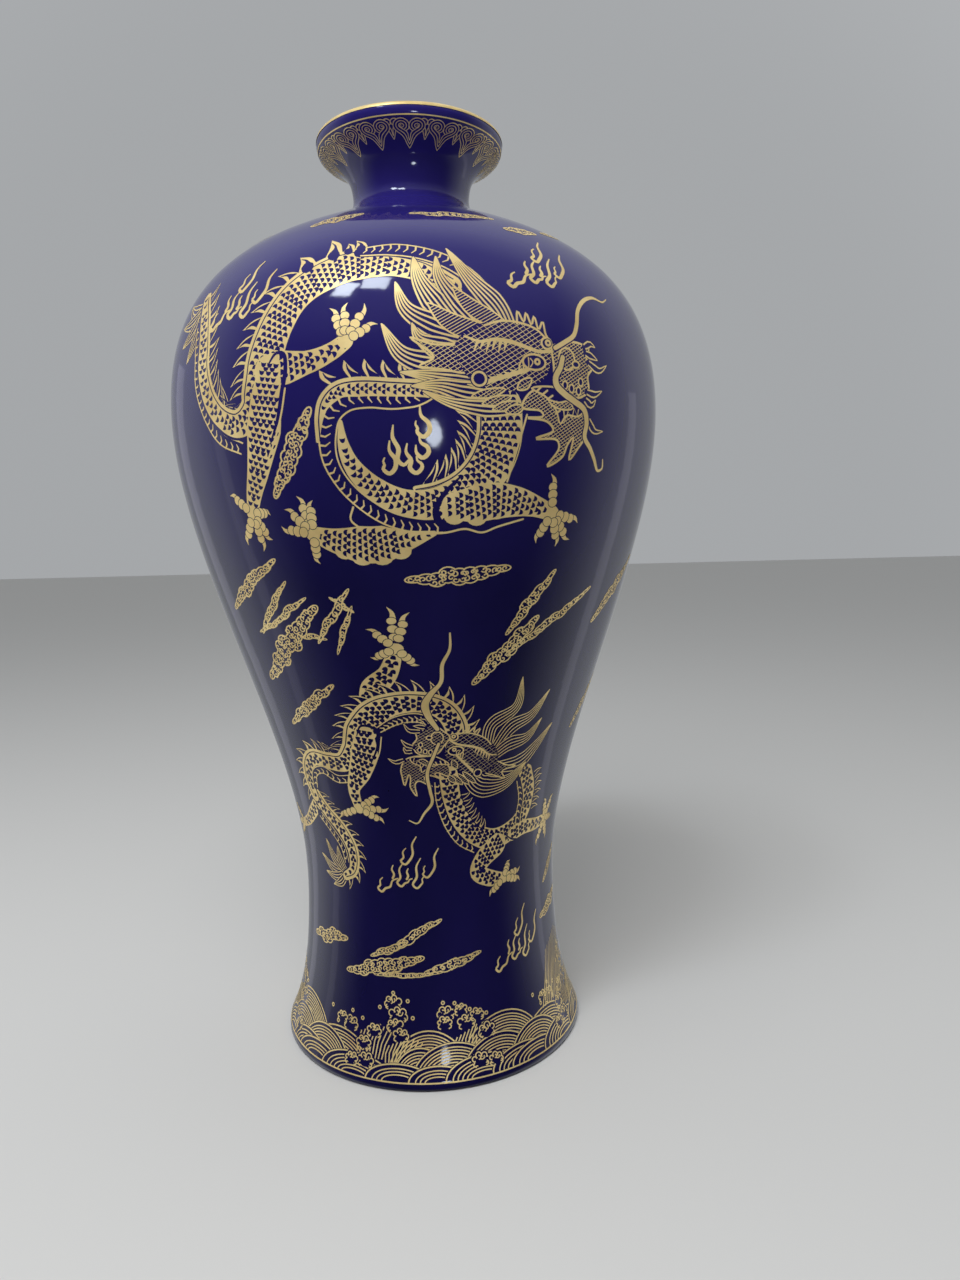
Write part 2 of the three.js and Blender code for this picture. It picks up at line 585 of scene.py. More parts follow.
def is_gold(drawing, centres):
    """Whether the last shape laid over each centre is a gold one."""
    cells = {}
    for index, key in enumerate(map(tuple, np.floor(centres / SORTING_CELL).astype(int))):
        cells.setdefault(key, []).append(index)
    cells = {key: np.array(indices) for key, indices in cells.items()}
    golden = np.zeros(len(centres), bool)
    for corners, gold in drawing.pieces:
        (ax, ay), (bx, by), (cx, cy) = corners
        area = (bx - ax) * (cy - ay) - (cx - ax) * (by - ay)
        if abs(area) < NO_AREA:
            continue
        found = [cells[key] for key in (
            (column, row)
            for column in range(math.floor(min(ax, bx, cx) / SORTING_CELL),
                                math.floor(max(ax, bx, cx) / SORTING_CELL) + 1)
            for row in range(math.floor(min(ay, by, cy) / SORTING_CELL),
                             math.floor(max(ay, by, cy) / SORTING_CELL) + 1)) if key in cells]
        if not found:
            continue
        near = found[0] if len(found) == 1 else np.concatenate(found)
        px, py = centres[near, 0], centres[near, 1]
        first = ((bx - ax) * (py - ay) - (px - ax) * (by - ay)) / area
        second = ((cx - bx) * (py - by) - (px - bx) * (cy - by)) / area
        third = 1 - first - second
        golden[near[(first >= 0) & (second >= 0) & (third >= 0)]] = gold
    return golden


# %% flatten a drawing
GRID_STEP = 3.0
MERGE_WITHIN = 1e-4


def flatten(drawing):
    """Triangles of what is still gold, as flat points and their corners."""
    low_x = min(point.x for point in drawing.points)
    high_x = max(point.x for point in drawing.points)
    low_y = min(point.y for point in drawing.points)
    high_y = max(point.y for point in drawing.points)
    grid = []
    for row in range(int((high_y - low_y) / GRID_STEP) + 1):
        shift = GRID_STEP / 2 * (row % 2)
        for column in range(int((high_x - low_x) / GRID_STEP) + 1):
            grid.append(Vector((low_x + column * GRID_STEP + shift, low_y + row * GRID_STEP)))
    points, _, faces, _, _, _ = geometry.delaunay_2d_cdt(
        drawing.points + grid, drawing.edges, [], 0, MERGE_WITHIN, False)
    flat = np.array([point[:] for point in points])
    corners = np.array([face[:3] for face in faces])
    kept = corners[is_gold(drawing, flat[corners].mean(axis=1))]
    used, order = np.unique(kept, return_inverse=True)
    return flat[used], order.reshape(kept.shape)


# %% wrap it round the wall
GILDING_LIFT = 0.07 * MM
BOTH_SIDES = (0, 180)


def gild(name, drawing, turns=(0,)):
    """Wraps a drawing round the wall, once at each turn in degrees, as one piece of gold film."""
    flat, faces = flatten(drawing)
    vertices = []
    ways = []
    all_faces = []
    for turn in turns:
        start = len(vertices)
        for across, along in flat.tolist():
            angle = across / drawing.radius + math.radians(turn)
            place, way = wall_point(angle, along * MM, GILDING_LIFT)
            vertices.append(place)
            ways.append(way)
        all_faces.extend((faces + start).tolist())
    mesh = bpy.data.meshes.new(name)
    mesh.from_pydata(vertices, [], all_faces)
    mesh.materials.append(gilding)
    mesh.shade_smooth()
    mesh.normals_split_custom_set_from_vertices(ways)
    add_piece(name, mesh)
    print(name, len(all_faces), "triangles")


def try_out(name, draw, *details):
    """Draws a motif once on a spare sheet and prints how many flat triangles it takes."""
    spare = Drawing(100.0)
    draw(spare, *details)
    print(name, "takes", len(spare.pieces), "flat triangles")


try_out("a dot", lambda sheet: sheet.fill(oval(Vector((0, 0)), 1, 1)))

# %% [markdown]
# ## Clouds and flames
# Between the dragons float small clouds and licks of fire. A cloud is a long lobed shape: gold
# ovals laid over each other and the same ovals a line's width smaller in glaze leave just the
# outline, and curls fill it. A flame is a chain of hooks: each stroke comes down from one tip,
# swinging from side to side, turns round in a loop and runs up to another tip.

# %% clouds
LOBE_LENGTH = 3.4
CURL_STEPS = 12
CURL_SIZE = 1.15
CURL_WIDTH = 0.5


def curl(drawing, centre, size, start, hand):
    """A small spiral stroke, once round and inwards."""
    path = []
    for step in range(CURL_STEPS + 1):
        share = step / CURL_STEPS
        angle = start + hand * share * 2 * math.pi
        reach = size * (1 - 0.75 * share)
        path.append(centre + Vector((math.cos(angle), math.sin(angle))) * reach)
    drawing.line(path, CURL_WIDTH)


def cloud(drawing, tail, head, height, seed, line_width):
    """A lobed cloud from its thin tail to its thin head, full of curls."""
    rng = random.Random(seed)
    way = head - tail
    length = way.length
    lean = math.atan2(way.y, way.x)
    side = Vector((-way.y, way.x)).normalized()
    lobes = []
    count = max(5, round(length / LOBE_LENGTH))
    for index in range(count):
        share = (index + 0.5) / count
        swell = 0.36 + 0.64 * math.sin(math.pi * share) ** 1.2
        centre = tail + way * share + side * rng.uniform(-0.18, 0.18) * height * swell
        lobes.append((centre, length / count * 0.95, height * 0.5 * swell))
    for centre, wide, high in lobes:
        drawing.fill(oval(centre, wide, high, lean), True)
    for centre, wide, high in lobes:
        drawing.fill(oval(centre, wide - line_width, max(high - line_width, 0.25), lean), False)
    for centre, wide, high in lobes:
        rows = max(1, round(high / 1.5))
        for row in range(rows):
            for place in (-0.36, 0.36):
                spot = centre + way.normalized() * (wide * place + rng.uniform(-0.3, 0.3))
                spot += side * (row - (rows - 1) / 2) * 2.3
                curl(drawing, spot, min(high * 0.7, CURL_SIZE), rng.uniform(0, 6.3),
                     rng.choice((-1, 1)))


try_out("a cloud 20 mm long", cloud, Vector((0, 0)), Vector((20, 0)), 6.0, 0, 0.65)

# %% [markdown]
# A flame is kept as a few places in millimetres: for a hook its left tip, its bottom and its right
# tip, and for a single tongue its tip and its foot. The brush adds the swing between them. There
# are two flames, a wide one for the open field and a tall one for the inside of the ring.

# %% flames
LICKS = (((-7.2, 3.6), (-9.2, -2.9), (-0.2, 3.6)),
         ((3.4, 10.4), (0.5, 0.0), (6.2, 3.6)),
         ((6.5, 17.6), (4.4, 10.0), (12.0, 22.9)),
         ((11.7, 13.0), (7.3, -0.7), (11.2, 4.4)),
         ((12.9, 9.4), (12.6, 4.0), (20.0, 17.2)),
         ((-1.0, 9.6), (-2.6, 3.6)),
         ((5.4, 8.3), (3.6, 3.4)))
RING_LICKS = (((-9.8, 5.5), (-8.6, 0.0), (-8.0, 11.1)),
              ((-6.6, 16.3), (-3.6, 2.8), (-0.9, 3.5)),
              ((-2.3, 10.1), (0.3, 0.0), (0.6, 5.8)),
              ((0.5, 9.5), (2.6, 5.1), (1.6, 12.4)),
              ((0.8, 17.5), (3.0, 12.1), (2.1, 22.3)))


def swung(tip, foot):
    """Places from a tip to its foot that swing from side to side."""
    reach = foot - tip
    if reach.length < 3:
        return [tip, foot]
    side = Vector((reach.y, -reach.x)).normalized() * min(0.7, reach.length * 0.09)
    return [tip, tip.lerp(foot, 0.35) + side, tip.lerp(foot, 0.7) - side, foot]


def flame(drawing, spot, licks, width, lean, bow):
    """Hooks of fire, each from a tip round its bottom to another tip, and single tongues."""
    for lick in licks:
        ends = [spot + Vector((across + lean * up, up)) for across, up in lick]
        if len(ends) == 2:
            drawing.line(through(swung(*ends), 0.7), [0.45, width, width * 1.1])
            continue
        left, bottom, right = ends
        path = swung(left, bottom + Vector((-bow, bow * 0.9))) + [bottom]
        path += swung(right, bottom + Vector((bow, bow * 0.9)))[::-1]
        drawing.line(through(path, 0.7), [0.45, width, width * 1.15, width, 0.5])


try_out("a wide flame", flame, Vector((0, 0)), LICKS, 1.25, 0.0, 1.8)
try_out("a tall flame", flame, Vector((0, 0)), RING_LICKS, 1.35, 0.0, 2.0)

# %% [markdown]
# ## How a dragon's body is built
# A dragon is one long scaled tube, so one function draws any stretch of it along a spine line. The
# order is a painter's: a margin of bare glaze to lift it off what lies behind, the fins, a gold
# ground, the fine dark line along the back and the scales. A scale is only the dark crescent under
# its edge. The crescents stand in rows, every second row half a scale further.

# %% fins and round ends
ROUND_ANGLES = (0.3, 0.6, 0.9, 1.2, 1.45)


def fin(drawing, root_a, root_b, tip):
    """A pointed, curved fin with a dark heart."""
    bend = (root_b - root_a) * 0.5
    front = through([root_b, root_b.lerp(tip, 0.55) + bend * 0.5, tip], 0.9)
    back = through([root_a, root_a.lerp(tip, 0.55) + bend * 0.2, tip], 0.9)
    drawing.fill(front + back[::-1][1:], True)
    middle = (root_a + root_b) / 2
    drawing.line(through([middle, middle.lerp(tip, 0.5) + bend * 0.35, tip.lerp(middle, 0.2)], 0.9),
                 [(root_b - root_a).length * 0.72, 1.0, 0.3], False)


def fin_row(drawing, edge, size, side, lean, pitch=0.7):
    """Fins along an edge, leaning back towards its start."""
    ways = normals(edge)
    step = max(2, round(size * pitch / 1.1))
    for index in range(step, len(edge), step):
        root_a, root_b = edge[index - step], edge[index]
        back = (root_a - root_b).normalized()
        root_a = root_b.lerp(root_a, 0.8)
        tip = (root_a + root_b) / 2 + ways[index] * side * size + back * size * lean
        fin(drawing, root_a, root_b, tip)


def rounded(path, half):
    """A stretch of body, as places and half widths, with a round end added at both of its ends."""
    ends = []
    for place, before, radius in ((path[0], path[1], half[0]), (path[-1], path[-2], half[-1])):
        way = (place - before).normalized()
        ends.append([(place + way * radius * math.sin(angle), radius * math.cos(angle))
                     for angle in ROUND_ANGLES])
    both = ends[0][::-1] + list(zip(path, half)) + ends[1]
    return [place for place, _ in both], [radius for _, radius in both]


try_out("a fin", fin, Vector((0, 0)), Vector((5, 0)), Vector((0, 7)))

# %% rows of scales
ROW_SHARE = 0.78
MARK_LENGTH = 0.61
MARK_WIDTH = 0.44


def scale_mark(drawing, centre, ahead, across, long, wide, hollow):
    """The dark crescent under one scale. Less hollow, it is more of a drop."""
    outer = []
    inner = []
    for index in range(6):
        angle = math.pi * (index / 5 - 0.5)
        rim = centre + across * math.sin(angle) * wide
        outer.append(rim + ahead * math.cos(angle) * long)
        inner.append(rim - ahead * (0.16 - math.cos(angle) * hollow) * long)
    drawing.fill(outer + inner[::-1], False)


def scaled(drawing, path, half, low, high, scale, hollow):
    """Rows of scale marks on a path, between two distances that depend on its half width."""
    ways = normals(path)
    row = 0
    travelled = 0.0
    for index in range(1, len(path) - 1):
        travelled += (path[index] - path[index - 1]).length
        if travelled < row * scale * ROW_SHARE:
            continue
        row += 1
        ahead = (path[index + 1] - path[index - 1]).normalized()
        bottom, top = low(half[index]), high(half[index])
        if top - bottom < scale * 0.6:
            continue
        count = max(1, round((top - bottom) / scale))
        cell = (top - bottom) / count
        for place in range(1 if row % 2 else 0, count):
            level = bottom + cell * (place + (0.0 if row % 2 else 0.5))
            scale_mark(drawing, path[index] + ways[index] * level, ahead, ways[index],
                       scale * MARK_LENGTH, min(scale, cell) * MARK_WIDTH, hollow)


# %% the scaled tube and the smooth belly
BACK_LINE = 1.5
BACK_FREE = 1.9
EDGE_FREE = 0.5


def tube(drawing, spine, girth, fins=0.0, side=1, scale=2.5, hollow=0.2, margin=0.9, lean=0.8,
         finned=1.0):
    """A scaled stretch of body. Fins stand on its left, or on its right where side is -1."""
    spine_line = through(spine, 0.7)
    path, half = rounded(spine_line, [v / 2 for v in along_values(girth, len(spine_line))])
    if margin:
        drawing.line(path, [2 * (value + margin) for value in half], False)
    straight = half[len(ROUND_ANGLES):-len(ROUND_ANGLES)]
    if fins:
        edge = offset(spine_line, [side * (value - 0.4) for value in straight])
        fin_row(drawing, edge[:int(len(edge) * finned):2], fins, side, lean)
    drawing.line(path, [2 * value for value in half], True)
    if fins:
        back = offset(spine_line, [side * (value - BACK_LINE) for value in straight])
        drawing.line(back, 0.45, False)
    free = BACK_FREE if fins else EDGE_FREE
    if side > 0:
        scaled(drawing, path, half, lambda v: EDGE_FREE - v, lambda v: v - free, scale, hollow)
    else:
        scaled(drawing, path, half, lambda v: free - v, lambda v: v - EDGE_FREE, scale, hollow)
    return spine_line


def belly(drawing, spine, width, side, pitch=3.0, edge_line=0.6, margin=0.8):
    """The smooth underside: a dark band with gold edges and a short curved plate mark per step."""
    path = through(spine, 1.0)
    half = [value / 2 for value in along_values(width, len(path))]
    drawing.line(path, [2 * (value + margin) for value in half], False)
    for hand in (1, -1):
        drawing.line(offset(path, [hand * value for value in half]), edge_line)
    outer = offset(path, [side * value for value in half])
    inner = offset(path, [-side * value * 0.35 for value in half])
    for index in range(2, len(path) - 2, max(2, round(pitch))):
        root, tip = outer[index], inner[index - 1]
        swing = (path[index] - path[index - 1]).normalized() * 0.8
        drawing.line([root, root.lerp(tip, 0.55) + swing, tip], [0.8, 0.65, 0.35])


try_out("50 mm of body", tube, [Vector((0, 0)), Vector((25, 5)), Vector((50, 0))], 12, 5)

# %% [markdown]
# A leg is a short tube that swells at the thigh. Each toe is a row of gold beads, the knuckles, and
# ends in a hooked nail. A thin rim of glaze round every bead keeps them apart.

# %% legs and claws
def bead(drawing, centre, wide, high, turn=0.0, rim=0.3):
    """A gold oval with a rim of glaze."""
    drawing.fill(oval(centre, wide + rim, high + rim, turn, 12), False)
    drawing.fill(oval(centre, wide, high, turn, 12), True)


def claw(drawing, wrist, tips, thick=2.0):
    """Beaded toes from the wrist to the tips of their hooked nails."""
    drawing.fill(oval(wrist, thick * 1.5, thick * 1.3), True)
    for order, tip in enumerate(tips):
        way = tip - wrist
        reach = way.length
        way = way.normalized()
        hook = Vector((-way.y, way.x)) * (1 if order % 2 else -1)
        root = wrist + way * reach * 0.66 + hook * 0.9
        outer = through([root + hook * thick * 0.7, root.lerp(tip, 0.6) + hook * thick * 0.85, tip],
                        0.9)
        inner = through([tip, root.lerp(tip, 0.5) + hook * thick * 0.1, root - hook * thick * 0.7],
                        0.9)
        drawing.fill(outer + inner[1:], True)
        for share, size in ((0.66, 0.9), (0.47, 1.0), (0.28, 0.95)):
            lump = wrist + way * reach * share + hook * 0.9 * share
            bead(drawing, lump, thick * size * 0.92, thick * size, math.atan2(way.y, way.x), 0.24)


def leg(drawing, bones, girth, tips, scale=2.5, hollow=0.2, thick=2.0, margin=0.9):
    """A scaled leg and its claw. The spine runs from the thigh to the wrist."""
    path = tube(drawing, bones, girth, scale=scale, hollow=hollow, margin=margin)
    claw(drawing, path[-1], tips, thick)


try_out("a claw", claw, Vector((0, 0)), [Vector((9, -6)), Vector((11, 0)), Vector((9, 6))])

# %% [markdown]
# Manes, whiskers and tail tufts are all locks of hair: a dark leaf with a few gold strands that
# start side by side and meet at the tip. Shaded places on the head are toned with a fine mesh of
# strokes, clipped to their outline.

# %% locks and manes
def lock(drawing, path, width, strands, thick, full=0.35):
    """A lock of hair along a path, from its root to its tip, widest at a share of its length."""
    path = through(path, 1.1)
    count = len(path)
    half = []
    for index in range(count):
        share = index / (count - 1)
        swell = 0.7 + 0.3 * share / full if share < full else ((1 - share) / (1 - full)) ** 0.8
        half.append(width / 2 * swell)
    drawing.line(path, [2 * value + 0.9 for value in half], False)
    for strand in range(strands):
        place = -1 + 2 * strand / (strands - 1)
        drawing.line(offset(path, [place * value for value in half]), [thick, thick, thick * 0.6])


def mane(drawing, locks, thick):
    """Locks at their places, each with its width and its number of strands."""
    for path, width, strands in locks:
        lock(drawing, drawing.path(*path), width, strands, thick)


# %% tone inside an outline
def tone(drawing, edge, lean, spacing, width):
    """Fine parallel strokes inside an outline."""
    spin = Matrix.Rotation(-lean, 2)
    back = Matrix.Rotation(lean, 2)
    turned = [spin @ Vector(point) for point in edge]
    low = min(point.y for point in turned)
    high = max(point.y for point in turned)
    for index in range(1, int((high - low) / spacing)):
        level = low + index * spacing
        crossings = []
        for first, last in zip(turned, turned[1:] + turned[:1]):
            if (first.y > level) != (last.y > level):
                share = (level - first.y) / (last.y - first.y)
                crossings.append(first.x + (last.x - first.x) * share)
        crossings.sort()
        for start, end in zip(crossings[::2], crossings[1::2]):
            if end - start > 0.8:
                drawing.line([back @ Vector((start + 0.2, level)), back @ Vector((end - 0.2, level))],
                             width)


def shaped(drawing, corners, line_width, spacing=1.0):
    """A dark shape with a gold outline, or none at width 0, toned inside with a mesh of strokes."""
    edge = through(corners, 0.9, closed=True)[:-1]
    drawing.fill(edge, False)
    tone(drawing, edge, 0.55, spacing, 0.26 * drawing.touch)
    tone(drawing, edge, -0.75, spacing * 1.25, 0.17 * drawing.touch)
    if line_width:
        drawing.ring(edge, line_width)


def leaf(drawing, path, width):
    """A pointed, toned lock without strands."""
    path = through(path, 1.0)
    half = [width / 2 * math.sin(math.pi * (0.12 + 0.88 * index / (len(path) - 1))) ** 0.8
            for index in range(len(path))]
    sides = offset(path, half) + offset(path, [-value for value in half])[::-1][1:]
    drawing.fill(sides, False)
    tone(drawing, sides, 0.55, 1.0, 0.3)
    drawing.ring(sides, 0.6)


try_out("a lock", lock, [Vector((0, 0)), Vector((2, 10)), Vector((0, 20))], 8, 5, 0.7)

# %% [markdown]
# ## The head
# Both dragons share one head. Its places are given as they lie on the upper dragon, in degrees and
# millimetres, and a little mapping sets them down elsewhere: smaller, turned, or looking the other
# way. The features are the usual ones of such dragons: round eyes under a bushy brow, a bulbous
# snout, an open jaw with teeth, a ragged beard, frilled lips and long whiskers.

# %% a mapping for the head
HEAD_EYE = (23.5, 296.5)
HEAD_DEGREE = math.radians(100.0)


def head_placer(drawing, degrees, along, size=1.0, turn=0.0, mirror=1):
    """Sets a place on the upper dragon's head down on a drawing, round a new place for the eye."""
    centre = drawing.at(degrees, along)
    spin = Matrix.Rotation(math.radians(turn), 2)

    def place(*pairs):
        result = []
        for across, up in pairs:
            local = Vector(((across - HEAD_EYE[0]) * HEAD_DEGREE * mirror, up - HEAD_EYE[1]))
            result.append(centre + spin @ (local * size))
        return result

    return place


print("a degree on the head is", round(HEAD_DEGREE, 3), "mm wide")

# %% [markdown]
# The mouth is drawn from the back to the front: the bearded lower jaw, the dark mouth with its
# teeth, the tongue, and the snout over them. Its frills are locks of only two strands.

# %% jaws and snout
FRILLS = (((35.2, 304.4), (37, 305.8), (38.3, 304.8)), ((35.4, 302.2), (37.2, 301.2), (38.7, 300.2)),
          ((36, 298.8), (39, 296.6), (41.5, 299)), ((35.3, 288.4), (37.4, 287.8), (39.7, 289.4)),
          ((34.8, 285.6), (36.6, 283.8), (37.8, 286)), ((35.8, 278.6), (37.8, 274.8), (40.4, 275)))


def jaws(drawing, place, size):
    """The open mouth: a ragged, bearded lower jaw, teeth, and the snout above them."""
    shaped(drawing, place((20, 281.5), (24, 280.5), (24.6, 278.8), (21, 278), (25.5, 277),
                          (27, 274), (23, 271), (28, 270.8), (28.6, 268), (26, 261.5), (29.6, 265),
                          (30.7, 269.5), (32, 272), (31.4, 264), (33.6, 268.5), (35, 272),
                          (35.4, 279), (33, 284), (28, 288), (22, 287)), 0.8 * size)
    mouth = place((22, 288), (25, 285.5), (27.5, 281), (28.6, 276.5), (30, 279.5), (33, 279.5),
                  (34.3, 281.5), (31.5, 285), (27.5, 288.8))
    drawing.fill(through(mouth, 0.9, closed=True)[:-1], False)
    drawing.ring(through(mouth, 0.9, closed=True)[:-1], 0.7 * size)
    for root, tip in zip(place((23, 287), (24.2, 286), (25.4, 284.6), (26.4, 282.6), (27.4, 280)),
                         place((24, 288.7), (25.4, 287.6), (26.6, 286), (27.6, 284), (28.4, 281))):
        drawing.line([root, tip], 0.75 * size)
    shaped(drawing, place((25.6, 284.4), (28, 283.8), (30.4, 284.4), (31.6, 282.2), (29.6, 281.4),
                          (27.2, 282.2)), 0.6 * size, 0.9)
    fangs = place((29.3, 281.3), (29.6, 277), (30.4, 281), (31.4, 278.4), (31.9, 282.2),
                  (32.8, 279.6), (33.1, 282.6))
    drawing.line(fangs, 0.6 * size)
    shaped(drawing, place((27, 303), (29.5, 304.4), (33, 305.6), (36.4, 303.6), (35.4, 300.6),
                          (37, 297.4), (35.6, 294), (35.7, 289), (33, 286), (29.5, 287.5),
                          (27.4, 291), (27, 297)), 0.8 * size)


def lips(drawing, place, size):
    """Frills round the muzzle, the nostril, the bulb of the nose and the teeth of the upper jaw."""
    for frill in FRILLS:
        lock(drawing, place(*frill), 2.3 * size, 2, 0.6 * size)
    nose = oval(place((30.3, 299.2))[0], 3.4 * size, 3.9 * size)
    drawing.ring(nose, 0.7 * size)
    nostril = place((32.5, 297.6))[0]
    drawing.fill(oval(nostril, 1.9 * size, 1.5 * size), True)
    drawing.fill(oval(nostril, 1.2 * size, 0.85 * size), False)
    for spot in place((29.6, 290), (31.2, 289), (33, 288.4), (33.6, 291.6)):
        drawing.fill(oval(spot, 1.3 * size, 1.7 * size), True)
        drawing.fill(oval(spot, 0.75 * size, 1.1 * size), False)


spare_head = head_placer(Drawing(100.0), *HEAD_EYE)
try_out("a pair of jaws", jaws, spare_head, 1.0)
try_out("a frill of lips", lips, spare_head, 1.0)

# %% [markdown]
# The look of the face hangs on its eyes, so they are the plainest shapes on it: a gold oval, a dark
# one inside it and a bright ball with a rim. The strokes round them may be as wild as they like.

# %% the brow
def brow(drawing, place, size):
    """The toned forehead with its crest, the bushy brow and the fringe of the cheek."""
    shaped(drawing, place((-0.9, 304), (3, 301.8), (8, 301.4), (12, 299), (12, 294.6), (9, 292.4),
                          (5, 293.4), (0.6, 294.6), (3.2, 297.4)), 0.75 * size, 1.2)
    shaped(drawing, place((7, 300.6), (8.4, 305), (12, 309), (16, 310.6), (20, 310.6), (23.8, 308.6),
                          (26.6, 303), (26.2, 296), (24.6, 291), (21, 288.4), (15, 286.6), (10, 290),
                          (8, 295)), 0, 1.35)
    ridge = place((13, 308.6), (16, 310.4), (20, 310.4), (23.6, 308.6), (25.4, 306))
    drawing.line(through(ridge, 0.9), 0.8 * size)
    crest = place((19.6, 310), (20, 314.6), (21.1, 310.8), (21.8, 314.2), (22.7, 310),
                  (23.5, 313.2), (24.2, 308.6), (25.3, 311.6), (25.7, 307), (26.6, 304.6))
    drawing.line(through(crest, 0.9), 0.8 * size)
    drawing.line(through(place((9, 304.6), (12, 303), (15, 304), (18.6, 303.2), (21, 302),
                               (24, 300.8), (27, 301.4)), 0.9), [0.7 * size, 1.5 * size, 1.1 * size])
    for step in range(6):
        root, tip = place((11.5 + 1.1 * step, 303.2), (10.6 + 1.2 * step, 299.4 + 0.9 * (step % 2)))
        drawing.line([root, root.lerp(tip, 0.5), tip], [1.2 * size, 0.7 * size, 0.25])
    for step in range(7):
        root, tip = place((21.4 - 1.4 * step, 294.6 - 0.75 * step),
                          (17.6 - 1.4 * step, 294 - 0.9 * step))
        bend = root.lerp(tip, 0.5) - Vector((0, 1.2 * size))
        drawing.line(through([root, bend, tip], 0.8), [1.5 * size, 1.2 * size, 0.3])
    for lean in (0.0, 1.5, 3.0):
        arc = place((19.4 + lean * 0.6, 293.4 + lean * 0.2), (19.6 + lean * 0.6, 296),
                    (20.8 + lean * 0.6, 299))
        drawing.line(through(arc, 0.8), 0.6 * size)


# %% the eyes
def eyes(drawing, place, size):
    """Two round eyes with a bright ball each, and the round joint of the jaw."""
    for centre, wide, high in (((22.7, 297), 4.7, 3.1), ((25.7, 303.9), 2.4, 2.4)):
        middle = place(centre)[0]
        drawing.fill(oval(middle, wide * size, high * size), True)
        drawing.fill(oval(middle, (wide - 0.8) * size, (high - 0.8) * size), False)
        pupil = place((centre[0] + 0.14 * wide, centre[1] + 0.2))[0]
        bead(drawing, pupil, 1.3 * size, 1.3 * size)
        drawing.fill(oval(pupil, 0.45 * size, 0.45 * size, corners=8), False)
    for root, tip in (((10, 284.6), (16.6, 287.4)), ((12, 282.2), (17.8, 285)),
                      ((14, 280.4), (19, 283.2)), ((16.6, 279.6), (20.4, 282)),
                      ((19, 287.4), (22, 291.4))):
        below = ((root[0] + tip[0]) / 2 + 0.6, (root[1] + tip[1]) / 2 - 1.6)
        above = ((root[0] + tip[0]) / 2 - 0.8, (root[1] + tip[1]) / 2 + 1.0)
        shaped(drawing, place(root, below, tip, above), 0.6 * size, 0.9)
    for inset in (0.9, 1.8):
        lid = place((21.1 + inset * 0.4, 298.8 - inset * 0.3), (20.6 + inset, 297),
                    (21.1 + inset * 0.4, 295.2))
        drawing.line(through(lid, 0.7), 0.45 * size)
    joint = place((11.5, 290.5))[0]
    drawing.fill(oval(joint, 3.1 * size, 3.1 * size), False)
    drawing.ring(oval(joint, 2.3 * size, 2.3 * size), 0.8 * size)


# %% a whisker and the whole head
def whisker(drawing, path, widths, rim=0.9):
    """A thick tapering gold stroke with a rim of glaze."""
    path = through(path, 0.9)
    drawing.line(path, [width + rim for width in widths], False)
    drawing.line(path, widths)


def head(drawing, place, size=1.0):
    """A whole head, from back to front, but for its whiskers."""
    brow(drawing, place, size)
    eyes(drawing, place, size)
    jaws(drawing, place, size)
    lips(drawing, place, size)


try_out("a whole head", head, spare_head)

# %% [markdown]
# ## The upper dragon
# It fills the shoulder and looks right. Its body runs down from the tail at the left, up in a tall
# arch behind the mane, and comes out again as a ring below the head. Stretches that lie further
# back are drawn first.

# %% body, tail and hind legs
upper = Drawing(100.0)


def tuft(drawing, root, tips, width, thick=0.6):
    """A fan of locks from one place."""
    for tip in tips:
        side = Vector((root.y - tip.y, tip.x - root.x)) * 0.12
        lock(drawing, [root, root.lerp(tip, 0.5) + side, tip], width, 4, thick, 0.5)


def upper_arch(drawing):
    """The tail with its tuft, the loop beside it and the arch behind the mane."""
    p = drawing.path
    tuft(drawing, p((-51.5, 326))[0], p((-62, 330), (-63, 321), (-60, 312), (-56, 305)), 6.0)
    belly(drawing, p((-51.6, 318), (-50.3, 305), (-49.8, 295), (-47, 284), (-43, 275), (-37, 270.4)),
          [3, 4, 4, 4.4, 4.4, 4], -1)
    tube(drawing, p((-52.5, 330), (-49.6, 320), (-48, 310), (-47.6, 300), (-45.8, 290.5),
                    (-42.4, 283), (-37.6, 279.2), (-33, 283), (-31, 292), (-29.6, 302),
                    (-27.4, 312), (-24, 321.5), (-19, 328), (-12, 332.2), (-5, 331.6), (1, 329),
                    (7, 323)), [5, 7, 7.4, 7.6, 8, 8.6, 10.5, 14.4, 15.6, 14.6, 14, 14, 14.5, 14, 10,
                    9.4, 8], 6.2, finned=0.72)
    belly(drawing, p((-11, 337.6), (-4, 338.2), (2, 336.2), (7, 332.4), (11, 327), (14, 320.5)),
          [3.6, 5.6, 5.6, 5.4, 5], 1, 3.0)
    for root_a, root_b, tip in (((-24, 331), (-20.4, 334.4), (-24.8, 338)),
                                ((-18.6, 335.6), (-15, 338.4), (-18.4, 345.6)),
                                ((-15, 337.6), (-12.4, 339.2), (-14, 342.6)),
                                ((-12.4, 338.8), (-9.6, 340.4), (-12.4, 344))):
        fin(drawing, *p(root_a, root_b, tip))


